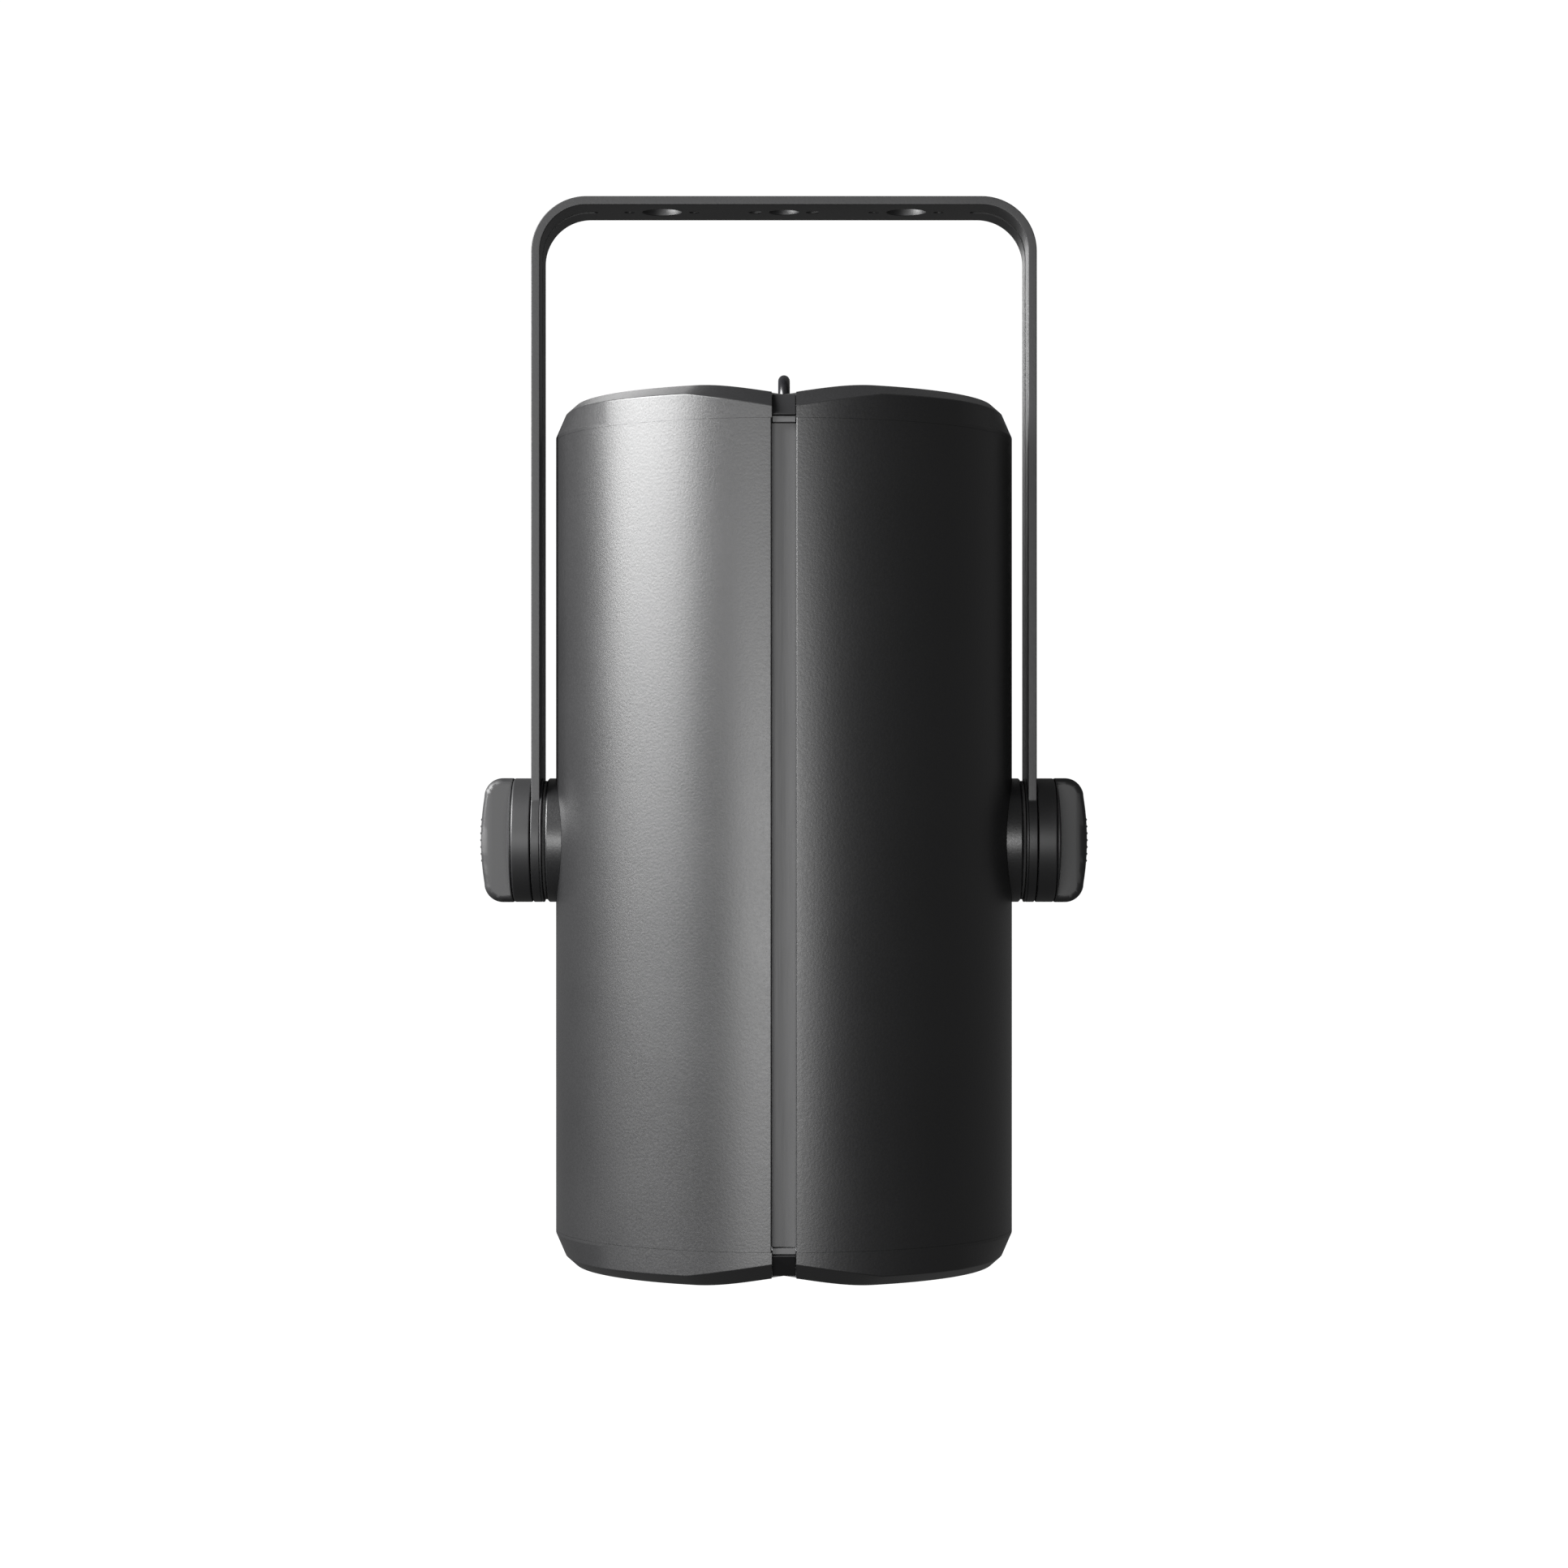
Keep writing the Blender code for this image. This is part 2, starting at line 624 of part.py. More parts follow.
def cut_channels(obj, low, high):
    """Make way for the strips behind the slots."""
    half = STRIP_HALF + 2 * GAP
    for face, sign in FACES.items():
        near, far = sorted((sign * CHANNEL, sign * (BODY_RADIUS + WALL)))
        boolean(obj, block(f"{obj.name}_channel_{face}", (-half, near, low), (half, far, high)))


def make_rings(steel, rubber, head):
    low = RING_TOP - RING_HEIGHT
    top = ring("top_ring", RING_INNER, FIT_RADIUS, low, RING_TOP, STEPS)
    cut_channels(top, low - OVERSHOOT, RING_TOP + OVERSHOOT)
    place(top, steel, head)
    gasket_low = RING_TOP + GAP
    gasket = ring("top_gasket", RING_INNER, CHANNEL - 2 * GAP, gasket_low,
                  gasket_low + GASKET, 36)
    place(gasket, rubber, head)
    bottom = ring("bottom_ring", RING_INNER, FIT_RADIUS, -SEAM_Z, RING_HEIGHT - SEAM_Z, STEPS)
    foot, head_end = -SEAM_Z - OVERSHOOT, RING_HEIGHT - SEAM_Z + OVERSHOOT
    cut_channels(bottom, foot, head_end)
    for number, spot in enumerate(round_places(BEZEL_CIRCLE), 1):
        boolean(bottom, rod(f"ring_hole_{number}", TAP_R, foot, head_end, spot, 16))
    place(bottom, steel, head)


def make_optics(finishes, head):
    edge = LIGHT_RADIUS + LEDGE - 2 * GAP
    gasket_low = GAP - SHELF_Z
    gasket = ring("glass_gasket", LIGHT_RADIUS + GAP, edge, gasket_low, gasket_low + GASKET, 36)
    place(gasket, finishes["rubber"], head)
    glass_low = gasket_low + GASKET + GAP
    glass = rod("front_glass", edge, glass_low, glass_low + GLASS_THICK, steps=STEPS)
    place(glass, finishes["glass"], head)
    clamp_low = glass_low + GLASS_THICK + GAP
    clamp_high = clamp_low + CLAMP_THICK
    clamp = ring("glass_clamp", edge - CLAMP_WIDTH, edge, clamp_low, clamp_high, 36)
    place(clamp, finishes["steel"], head)
    make_reflector(finishes["mirror"], head, edge, clamp_high + GAP)
    board = rod("led_board", BOARD_RADIUS, BOARD_BOTTOM, BOARD_BOTTOM + BOARD_THICK, steps=32)
    place(board, finishes["board"], head)
    emitter = rod("led_emitter", EMITTER_RADIUS, BOARD_BOTTOM - GAP - EMITTER_THICK,
                  BOARD_BOTTOM - GAP, steps=24)
    place(emitter, finishes["phosphor"], head)


def make_reflector(mirror, head, flange_edge, mouth):
    """A parabolic dish whose flange rests on the glass clamp."""
    throat = BOARD_BOTTOM - 2 * GAP
    narrow = EMITTER_RADIUS + THROAT_PLAY
    rim = mouth + REFLECTOR_WALL
    wide = flange_edge - CLAMP_WIDTH
    count = 5
    outer, inner = [], []
    for index in range(count + 1):
        share = index / count
        height = throat + (rim - throat) * share
        radius = sqrt(narrow ** 2 + (wide ** 2 - narrow ** 2) * share)
        outer.append((radius + REFLECTOR_WALL, height))
        inner.append((radius, height if index < count else mouth))
    outer[-1] = (wide + REFLECTOR_WALL, rim)
    profile = [*outer, (flange_edge, rim), (flange_edge, mouth), *reversed(inner)]
    place(turned("reflector", profile, 36, closed=True), mirror, head)


# Bulkhead, heat sink and electronics

def make_core(finishes, head):
    below, above = BULKHEAD_Z - OVERSHOOT, BULKHEAD_Z + BULKHEAD_THICK + OVERSHOOT
    bulkhead = rod("bulkhead", FIT_RADIUS, BULKHEAD_Z, BULKHEAD_Z + BULKHEAD_THICK, steps=STEPS)
    cut_channels(bulkhead, below, above)
    boolean(bulkhead, rod("lead_hole", LEAD_RADIUS + LEAD_PLAY, below, above, (0.0, LEAD_Y)))
    place(bulkhead, finishes["aluminium"], head)
    make_heat_sink(finishes["aluminium"], head)
    make_tray(finishes, head)


def make_tray(finishes, head):
    """An L of sheet on the bulkhead, with the driver on its back and the board on its front."""
    back, front = TRAY_Y, TRAY_Y + TRAY_THICK
    sheet = [(back, TRAY_BOTTOM), (back + TRAY_FOOT, TRAY_BOTTOM),
             (back + TRAY_FOOT, TRAY_BOTTOM + TRAY_THICK), (front, TRAY_BOTTOM + TRAY_THICK),
             (front, TRAY_TOP), (back, TRAY_TOP)]
    tray = flat_outline("driver_tray", sheet, -TRAY_HALF, TRAY_HALF, "X")
    place(tray, finishes["steel"], head, smooth=False)
    driver = on_tray("driver", DRIVER_INSET, back - GAP - DRIVER_THICK, back - GAP)
    place(driver, finishes["aluminium"], head, smooth=False)
    board_face = front + GAP + CONTROL_THICK
    board = on_tray("control_board", CONTROL_INSET, front + GAP, board_face)
    place(board, finishes["board"], head, smooth=False)
    y, z = board_face + GAP, TRAY_TOP - CONTROL_INSET.y - TERMINAL.z
    terminal = block("terminal_block", (-TERMINAL.x / 2, y, z),
                     (TERMINAL.x / 2, y + TERMINAL.y, z + TERMINAL.z))
    place(terminal, finishes["plastic"], head, smooth=False)
    make_lead(finishes["rubber"], head, Vector((0.0, y + TERMINAL.y / 2, z - GAP)))


def on_tray(name, inset, near, far):
    half = TRAY_HALF - inset.x
    return block(name, (-half, near, TRAY_BOTTOM + inset.y), (half, far, TRAY_TOP - inset.y))


def make_heat_sink(aluminium, head):
    pitch = (2 * SINK_HALF_X - FIN_THICK) / (FIN_COUNT - 1)
    base = SINK_BOTTOM + SINK_BASE
    top = SINK_BOTTOM + SINK_HEIGHT
    outline = [(SINK_HALF_X, SINK_BOTTOM), (-SINK_HALF_X, SINK_BOTTOM)]
    for index in range(FIN_COUNT):
        left = -SINK_HALF_X + pitch * index
        right = left + FIN_THICK
        if index:
            outline.append((left, base))
        outline += [(left, top), (right, top)]
        if index < FIN_COUNT - 1:
            outline.append((right, base))
    sink = flat_outline("heat_sink", outline, -SINK_HALF_Y, SINK_HALF_Y, "Y")
    place(sink, aluminium, head, smooth=False)


def make_lead(rubber, head, start):
    """The lead from the terminal block, through the bulkhead, to the light source."""
    level_z = BOARD_BOTTOM - 2 * GAP - LEAD_RADIUS
    end_y = BOARD_RADIUS - 6 * MM
    under_z = BOARD_BOTTOM - 2 * LEAD_RADIUS
    route = [(start.y, start.z - 3 * MM), (start.y, start.z - 12 * MM),
             ((start.y + LEAD_Y) / 2, BULKHEAD_Z + 48 * MM), (LEAD_Y, BULKHEAD_Z + 28 * MM),
             (LEAD_Y, BULKHEAD_Z + 12 * MM), (LEAD_Y, BULKHEAD_Z - 12 * MM),
             (LEAD_Y, SINK_BOTTOM + 24 * MM),
             (SINK_HALF_Y + 4 * LEAD_RADIUS, SINK_BOTTOM + 2 * MM),
             (SINK_HALF_Y - 1 * MM, under_z - 1 * MM), (end_y + 10 * MM, level_z),
             (end_y, level_z)]
    path = [start, *smooth_path([Vector((0.0, y, z)) for y, z in route], 2)]
    place(wire("led_lead", path, LEAD_RADIUS), rubber, head)


def smooth_path(corners, count):
    """Catmull-Rom points through the corners."""
    points = [corners[0], *corners, corners[-1]]
    path = []
    for index in range(1, len(points) - 2):
        before, start, end, after = points[index - 1:index + 3]
        for step in range(count):
            t = step / count
            path.append(0.5 * (2 * start + (end - before) * t
                               + (2 * before - 5 * start + 4 * end - after) * t * t
                               + (3 * start - before - 3 * end + after) * t ** 3))
    return [*path, corners[-1]]


# Fasteners

def screw_shape(name, tip, seat, spot):
    """A socket screw: its head is above seat when tip is below it, and the other way round."""
    up = 1 if seat > tip else -1
    crown = seat + up * HEAD_HEIGHT
    low, high = sorted((seat, crown))
    head = rod(name, HEAD_R, low, high, spot, 18)
    reach = seat + up * OVERSHOOT
    shank = rod(name + "_shank", SCREW_R, min(tip, reach), max(tip, reach), spot, 12)
    boolean(head, shank, "UNION")
    socket_low, socket_high = sorted((crown - up * SOCKET_DEPTH, crown + up * OVERSHOOT))
    return boolean(head, rod(name + "_socket", SOCKET_R, socket_low, socket_high, spot, 6))


def make_fasteners(steel, head):
    rod_high = FLOOR_Z - FLOOR - GAP
    bore = rod_high - THREAD_DEPTH
    profile = [(0.0, bore), (TAP_R, bore), (TAP_R, rod_high), (TIE_RADIUS, rod_high),
               (TIE_RADIUS, TRAY_BOTTOM), (0.0, TRAY_BOTTOM)]
    for number, (x, y) in enumerate(round_places(TIE_CIRCLE), 1):
        tie = turned(f"tie_rod_{number}", profile, 16)
        tie.location = (x, y, 0.0)
        place(tie, steel, head)
        screw = screw_shape(f"cap_screw_{number}", bore + THREAD_SPARE, FLOOR_Z + GAP, (x, y))
        place(screw, steel, head)
    for number, spot in enumerate(round_places(BEZEL_CIRCLE), 1):
        seat = -BODY_HALF + HEAD_HEIGHT + GAP
        tip = RING_HEIGHT - SEAM_Z - THREAD_SPARE
        screw = screw_shape(f"bezel_screw_{number}", tip, seat, spot)
        place(screw, steel, head)


# Tilt pivot and clamp knobs: turned round Z, then laid along X

def lay(obj, mat, sign, parent):
    """Turn a piece's Z axis outwards and keep its own cutters with it."""
    for step in obj.modifiers:
        if step.type == "BOOLEAN":
            step.object.parent = obj
    obj.rotation_euler.y = sign * pi / 2
    return place(obj, mat, parent)


def make_anchor(side, sign, aluminium, tilt):
    """The block inside the shell that carries the clamp stud."""
    near, far = sorted((sign * ANCHOR_IN, sign * ANCHOR_OUT))
    anchor = block("pivot_anchor_" + side, (near, -ANCHOR_HALF_Y, -ANCHOR_DEPTH),
                   (far, ANCHOR_HALF_Y, BULKHEAD_Z + BODY_LIFT - GAP))
    bore = rod("anchor_bore_" + side, STUD_HOLE_R, ANCHOR_IN - OVERSHOOT, ANCHOR_OUT + OVERSHOOT)
    bore.rotation_euler.y = sign * pi / 2
    boolean(anchor, bore)
    place(anchor, aluminium, tilt, smooth=False)


def make_boss(side, sign, paint, tilt):
    """A disc whose back follows the head, with a spigot through the wall."""
    back = sqrt(INNER_RADIUS ** 2 - PIVOT_RADIUS ** 2)
    boss = rod("pivot_boss_" + side, PIVOT_RADIUS, back, BOSS_FACE, steps=40)
    drum = rod("head_round_" + side, BODY_RADIUS + GAP, -2 * PIVOT_RADIUS, 2 * PIVOT_RADIUS,
               steps=2 * STEPS)
    drum.rotation_euler.y = pi / 2
    boolean(boss, drum)
    spigot = rod("spigot_" + side, SPIGOT_R, ANCHOR_OUT + GAP, BOSS_FACE - OVERSHOOT)
    boolean(boss, spigot, "UNION")
    bore = rod("boss_bore_" + side, STUD_HOLE_R, ANCHOR_OUT - OVERSHOOT, BOSS_FACE + OVERSHOOT)
    boolean(boss, bore)
    lay(boss, paint, sign, tilt)


def make_pivot(side, sign, finishes, tilt, yoke):
    make_anchor(side, sign, finishes["aluminium"], tilt)
    make_boss(side, sign, finishes["paint"], tilt)
    pad_low = BOSS_FACE + GAP
    pad = ring("friction_pad_" + side, STUD_HOLE_R, PIVOT_RADIUS - PAD_INSET, pad_low,
               pad_low + PAD_THICK, 24)
    lay(pad, finishes["rubber"], sign, tilt)
    washer_high = ARM_INSIDE - GAP
    washer = ring("pivot_washer_" + side, STUD_HOLE_R, PIVOT_RADIUS, washer_high - WASHER_THICK,
                  washer_high, 36)
    lay(washer, finishes["steel"], sign, yoke)
    seat = ANCHOR_IN - GAP
    tip = KNOB_START + INSERT_LENGTH - THREAD_SPARE
    profile = [(0.0, tip), (STUD_R, tip), (STUD_R, seat), (STUD_HEAD_R, seat),
               (STUD_HEAD_R, seat - STUD_HEAD), (0.0, seat - STUD_HEAD)]
    lay(turned("clamp_stud_" + side, profile, 20), finishes["steel"], sign, tilt)


def crown(radius):
    """Height of the grip's domed end at a distance from its axis."""
    return GRIP_END - GRIP_DOME * (radius / GRIP_TOP_R) ** 2


def make_grip(side):
    """A turned cap cut down to a bar with rounded edges and short ribs on its end."""
    bore = INSERT_R + FIT
    depth = KNOB_START + INSERT_LENGTH + GAP
    shoulder = GRIP_START + GRIP_STRAIGHT
    curve = [(GRIP_TOP_R + (PIVOT_RADIUS - GRIP_TOP_R) * cos(t),
              shoulder + (crown(GRIP_TOP_R) - shoulder) * sin(t))
             for t in (radians(72), radians(54), radians(36), radians(18), 0.0)]
    profile = [(0.0, crown(0.0)), (GRIP_TOP_R / 2, crown(GRIP_TOP_R / 2)),
               (GRIP_TOP_R, crown(GRIP_TOP_R)), *curve, (PIVOT_RADIUS, GRIP_START),
               (bore, GRIP_START), (bore, depth), (0.0, depth)]
    grip = turned("knob_grip_" + side, profile, 40)
    edge = GRIP_HALF - GRIP_EDGE
    below = GRIP_START - OVERSHOOT
    outline = [(-GRIP_HALF, below), (GRIP_HALF, below),
               *arc((edge, GRIP_END - GRIP_EDGE), GRIP_EDGE, 0.0, pi / 2, 4),
               *arc((-edge, GRIP_END - GRIP_EDGE), GRIP_EDGE, pi / 2, pi, 4)]
    reach = PIVOT_RADIUS + OVERSHOOT
    boolean(grip, flat_outline("grip_bar_" + side, outline, -reach, reach, "X"), "INTERSECT")
    for index in range(RIB_COUNT):
        x = (index - (RIB_COUNT - 1) / 2) * RIB_PITCH
        rib = block(f"rib_{side}_{index}",
                    (x - RIB_WIDTH / 2, -RIB_LENGTH / 2, crown(x) - OVERSHOOT),
                    (x + RIB_WIDTH / 2, RIB_LENGTH / 2, crown(x) + RIB_PROUD))
        boolean(grip, rib, "UNION")
    return grip


def make_knob(side, sign, finishes, axis):
    bore = INSERT_R + FIT
    collar = ring("knob_collar_" + side, bore, PIVOT_RADIUS, KNOB_START,
                  KNOB_START + COLLAR_LENGTH, 40)
    lay(collar, finishes["plastic"], sign, axis)
    lay(make_grip(side), finishes["plastic"], sign, axis)
    insert = ring("knob_insert_" + side, STUD_R + FIT, INSERT_R, KNOB_START,
                  KNOB_START + INSERT_LENGTH, 20)
    lay(insert, finishes["brass"], sign, axis)


# Fittings on the top casting

def make_fittings(finishes, head):
    floor = FLOOR_Z + GAP
    base = block("loop_base", (-LOOP_BASE.x / 2, -LOOP_BASE.y / 2, floor),
                 (LOOP_BASE.x / 2, LOOP_BASE.y / 2, floor + LOOP_BASE.z))
    place(base, finishes["loop"], head, smooth=False)
    top = BODY_HALF + LOOP_TOP - LOOP_ROD_R
    foot = floor + LOOP_BASE.z + GAP
    bow = arc((0.0, top - LOOP_HALF), LOOP_HALF, 0.0, pi, 12)
    points = [(0.0, y, z) for y, z in [(LOOP_HALF, foot), *bow, (-LOOP_HALF, foot)]]
    place(wire("safety_loop", points, LOOP_ROD_R), finishes["loop"], head)
    under = FLOOR_Z - FLOOR - INLET_DROP
    rise = floor + INLET_RISE
    lip = floor + INLET_FLANGE
    profile = [(INLET_BORE_R, rise), (INLET_R, rise), (INLET_R, lip), (INLET_FLANGE_R, lip),
               (INLET_FLANGE_R, floor), (INLET_R, floor), (INLET_R, under), (0.0, under)]
    deep = FLOOR_Z - FLOOR
    inlet = turned("power_inlet", [(0.0, deep), (INLET_BORE_R, deep), *profile], 24)
    inlet.location.y = INLET_Y
    place(inlet, finishes["plastic"], head)
    core = rod("inlet_core", INLET_BORE_R - GAP, deep + GAP, floor + SOCKET_RISE, (0.0, INLET_Y))
    place(core, finishes["rubber"], head)
    spot = (0.0, VENT_Y)
    vent = rod("pressure_vent", VENT_R, floor, floor + VENT_HEIGHT, spot, 6)
    shank = rod("vent_shank", VENT_SHANK_R, under, floor + OVERSHOOT, spot, 20)
    place(boolean(vent, shank, "UNION"), finishes["plastic"], head)


def make_finishes():
    return {
        "paint": material("black_powder_coat", (0.028, 0.028, 0.030), 0.55),
        "strap": material("black_strap_coat", (0.030, 0.030, 0.032), 0.50),
        "trim": material("dark_strip", (0.050, 0.050, 0.052), 0.42, 0.3),
        "plastic": material("black_moulded_plastic", (0.032, 0.032, 0.034), 0.48),
        "rubber": material("black_rubber", (0.020, 0.020, 0.020), 0.80),
        "steel": material("zinc_plated_steel", (0.42, 0.42, 0.43), 0.35, 1.0),
        "loop": material("black_gloss_rod", (0.020, 0.020, 0.021), 0.20),
        "aluminium": material("cast_aluminium", (0.62, 0.62, 0.63), 0.45, 1.0),
        "brass": material("brass", (0.72, 0.52, 0.22), 0.35, 1.0),
        "mirror": material("bright_reflector", (0.85, 0.85, 0.86), 0.08, 1.0),
        "board": material("white_board", (0.75, 0.76, 0.75), 0.50),
        "phosphor": material("yellow_phosphor", (0.85, 0.65, 0.12), 0.60),
        "glass": material("clear_glass", (0.90, 0.93, 0.93), 0.03, 0.0, 0.35),
    }


def build():
    clear_scene()
    finishes = make_finishes()
    make_yoke(finishes["strap"])
    yoke = empty("yoke_lugs", (0.0, 0.0, -YOKE_DROP))
    tilt = empty("tilt_axis", (0.0, 0.0, -YOKE_DROP))
    head = empty("head_middle", (0.0, 0.0, BODY_LIFT), tilt)
    make_shells(finishes["paint"], head)
    make_top_cap(finishes["paint"], head)
    make_bezel(finishes["paint"], head)
    make_slot_trim(finishes["trim"], finishes["plastic"], head)
    make_rings(finishes["steel"], finishes["rubber"], head)
    make_optics(finishes, head)
    make_core(finishes, head)
    make_fasteners(finishes["steel"], head)
    make_fittings(finishes, head)
    for side, sign in SIDES.items():
        make_pivot(side, sign, finishes, tilt, yoke)
        knob_axis = empty("knob_axis_" + side, (0.0, 0.0, 0.0), tilt)
        make_knob(side, sign, finishes, knob_axis)


build()
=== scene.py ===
# %% [markdown]
# # A yoke-mounted spotlight
# The lamp is a black cylinder that hangs between the arms of a bent steel strap. Its mechanical model
# comes first, as a fixed frame, and every piece below takes its place from the sizes of that frame.
# The pieces could be modelled where they stand, one by one. Here most of them are made from their
# drawing instead, as an outline or a turned profile, because that is how a workshop makes them.

# %% Open the frame
from math import asin, cos, pi, radians, sin, sqrt, tan

import bmesh
import bpy
from mathutils import Matrix, Vector


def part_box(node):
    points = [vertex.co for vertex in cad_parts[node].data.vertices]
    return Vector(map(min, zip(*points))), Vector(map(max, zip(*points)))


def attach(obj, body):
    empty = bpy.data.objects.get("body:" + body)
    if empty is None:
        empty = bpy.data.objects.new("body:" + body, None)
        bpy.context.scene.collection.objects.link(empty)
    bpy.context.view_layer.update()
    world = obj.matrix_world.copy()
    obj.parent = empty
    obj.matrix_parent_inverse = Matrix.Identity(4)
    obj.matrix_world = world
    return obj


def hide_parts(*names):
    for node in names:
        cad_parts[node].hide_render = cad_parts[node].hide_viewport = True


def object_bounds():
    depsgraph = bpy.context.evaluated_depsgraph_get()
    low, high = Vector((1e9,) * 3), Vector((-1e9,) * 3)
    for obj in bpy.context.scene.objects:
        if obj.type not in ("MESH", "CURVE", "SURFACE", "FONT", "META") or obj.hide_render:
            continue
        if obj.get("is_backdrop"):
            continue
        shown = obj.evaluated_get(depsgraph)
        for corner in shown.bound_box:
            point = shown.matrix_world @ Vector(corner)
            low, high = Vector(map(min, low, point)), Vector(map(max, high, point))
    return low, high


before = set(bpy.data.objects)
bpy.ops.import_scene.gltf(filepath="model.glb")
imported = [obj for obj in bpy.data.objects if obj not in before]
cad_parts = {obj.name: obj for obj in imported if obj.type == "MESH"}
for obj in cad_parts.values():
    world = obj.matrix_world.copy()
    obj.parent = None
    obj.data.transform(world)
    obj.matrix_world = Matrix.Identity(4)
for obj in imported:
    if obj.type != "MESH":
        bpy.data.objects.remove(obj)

cad_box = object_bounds()
print("frame in mm:", [round(1000 * (high - low), 1) for low, high in zip(*cad_box)])

# %% [markdown]
# ## Sizes that the frame gives
# A few boxes of the frame's nodes hold all the main sizes: the strap's outside, the height of the
# tilt axis, and the radius, height and slot width of the head. The small sizes, such as a rounding or
# a hole, are named beside the piece that has them.

# %% Main sizes
MM = 0.001
CLEAR = 0.3 * MM
yoke_low, yoke_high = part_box("yoke")
shell_low, shell_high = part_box("shell_right")
ARM_OUTSIDE = yoke_high.x
PIVOT_RADIUS = yoke_high.y
TILT_Z = yoke_low.z + PIVOT_RADIUS
HEAD_Z = (shell_low.z + shell_high.z) / 2
BODY_RADIUS = shell_high.x
SLOT_HALF = shell_low.x
SEAM = shell_high.z - HEAD_Z + CLEAR
BODY_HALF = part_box("top_cap")[1].z - HEAD_Z
SIDES = {"left": -1, "right": 1}
print("tilt axis at", round(TILT_Z / MM, 1), "head middle at", round(HEAD_Z / MM, 1))

# %% [markdown]
# ## Node trees written as sums
# Materials and Geometry Nodes are both trees of nodes. Linking them by hand hides the maths, so one
# small class wraps a socket: plus, minus and times on it add the Math nodes, and one method adds any
# other node with its settings and the values or wires of its sockets.

# %% The wire
class Wire:
    """A socket of a node tree. Maths on it adds Math nodes to the tree."""

    def __init__(self, tree, socket=None):
        self.tree = tree
        self.socket = socket

    def node(self, kind, settings=None, sockets=None, output=0):
        """Add a node: settings first, then its sockets; give back one of its outputs."""
        node = self.tree.nodes.new(kind)
        for name, value in (settings or {}).items():
            setattr(node, name, value)
        for name, value in (sockets or {}).items():
            self.feed(value, node.inputs[name])
        return Wire(self.tree, node.outputs[output] if node.outputs else None)

    def feed(self, value, socket):
        """Link a wire to a socket, or set a plain value on it."""
        if isinstance(value, Wire):
            self.tree.links.new(value.socket, socket)
        else:
            socket.default_value = value

    def math(self, operation, first, second):
        return self.node("ShaderNodeMath", {"operation": operation}, {0: first, 1: second})

    def __add__(self, other):
        return self.math("ADD", self, other)

    def __radd__(self, other):
        return self.math("ADD", other, self)

    def __sub__(self, other):
        return self.math("SUBTRACT", self, other)

    def __mul__(self, other):
        return self.math("MULTIPLY", self, other)

    def __rmul__(self, other):
        return self.math("MULTIPLY", other, self)


# %% [markdown]
# ## Patterns that every finish shares
# A real surface is never one flat value. Paint has a fine grain, and rolled or brushed metal has
# lines that run one way. Both are noise on Object coordinates, and stretching the noise along one
# axis turns grain into brush lines. The coordinates are in metres, so sizes are true sizes.

# %% Pattern helpers
def noise(wire, size, detail=2.0, stretch=(1.0, 1.0, 1.0)):
    """Noise from 0 to 1 with spots of about this size, drawn out where stretch is below 1."""
    place = wire.node("ShaderNodeTexCoord", output="Object")
    place = wire.node("ShaderNodeMapping", {}, {"Vector": place, "Scale": stretch})
    return wire.node("ShaderNodeTexNoise", {},
                     {"Vector": place, "Scale": 1.0 / size, "Detail": detail})


def between(wire, share, first, second):
    """A colour between two colours."""
    return wire.node("ShaderNodeMix", {"data_type": "RGBA"},
                     {0: share, 6: (*first, 1.0), 7: (*second, 1.0)}, output=2)


def relief(wire, height, depth):
    return wire.node("ShaderNodeBump", {},
                     {"Height": height, "Distance": depth, "Strength": 1.0})


def tinted(colour, share):
    return [channel * share for channel in colour]


def new_finish(name, **constants):
    """A material with its even values set straight on the shader's own sockets."""
    mat = bpy.data.materials.new(name)
    mat.use_nodes = True
    shader = mat.node_tree.nodes["Principled BSDF"]
    for socket, value in constants.items():
        shader.inputs[socket.replace("_", " ").title().replace("Ior", "IOR")].default_value = value
    return mat, Wire(mat.node_tree), shader.inputs


# %% [markdown]
# ## Coats, plastics and rubber
# Powder coat is sprayed dry and baked, which leaves a fine pebbled grain that breaks up a highlight.
# Moulded plastic has a finer spark grain and rubber a dull one. One function makes them all: the
# grain tints the colour, moves the roughness and bumps the normal, and broad patches keep a large
# face from looking even.

# %% Coated finishes
COAT_PATCH = 45.0 * MM
METAL_PATCH = 30.0 * MM


def coated(name, colour, roughness, grain, depth, spread=0.10, **constants):
    mat, wire, inputs = new_finish(name, **constants)
    fine = noise(wire, grain, 3.0)
    broad = noise(wire, COAT_PATCH)
    tint = fine * 0.6 + broad * 0.4
    wire.feed(between(wire, tint, tinted(colour, 0.70), tinted(colour, 1.30)),
              inputs["Base Color"])
    wire.feed(roughness + (fine - 0.5) * spread + (broad - 0.5) * spread * 0.5,
              inputs["Roughness"])
    wire.feed(relief(wire, fine, depth), inputs["Normal"])
    return mat


POWDER = coated("coat_of_the_head", (0.007, 0.007, 0.0074), 0.38, 1.1 * MM, 0.05 * MM)
STRAP = coated("coat_of_the_strap", (0.008, 0.008, 0.0084), 0.48, 0.9 * MM, 0.04 * MM,
               specular_ior_level=0.38)
PLASTIC = coated("black_moulded_plastic", (0.009, 0.009, 0.0095), 0.50, 0.6 * MM, 0.015 * MM,
                 0.06, specular_ior_level=0.40)
PLUG = coated("black_end_plug", (0.006, 0.006, 0.0065), 0.60, 0.7 * MM, 0.03 * MM,
              specular_ior_level=0.22)
RUBBER = coated("matt_rubber", (0.014, 0.014, 0.014), 0.78, 0.8 * MM, 0.05 * MM)
GLOSS = coated("gloss_coat_of_the_loop", (0.006, 0.006, 0.007), 0.27, 2.5 * MM, 0.01 * MM, 0.04)
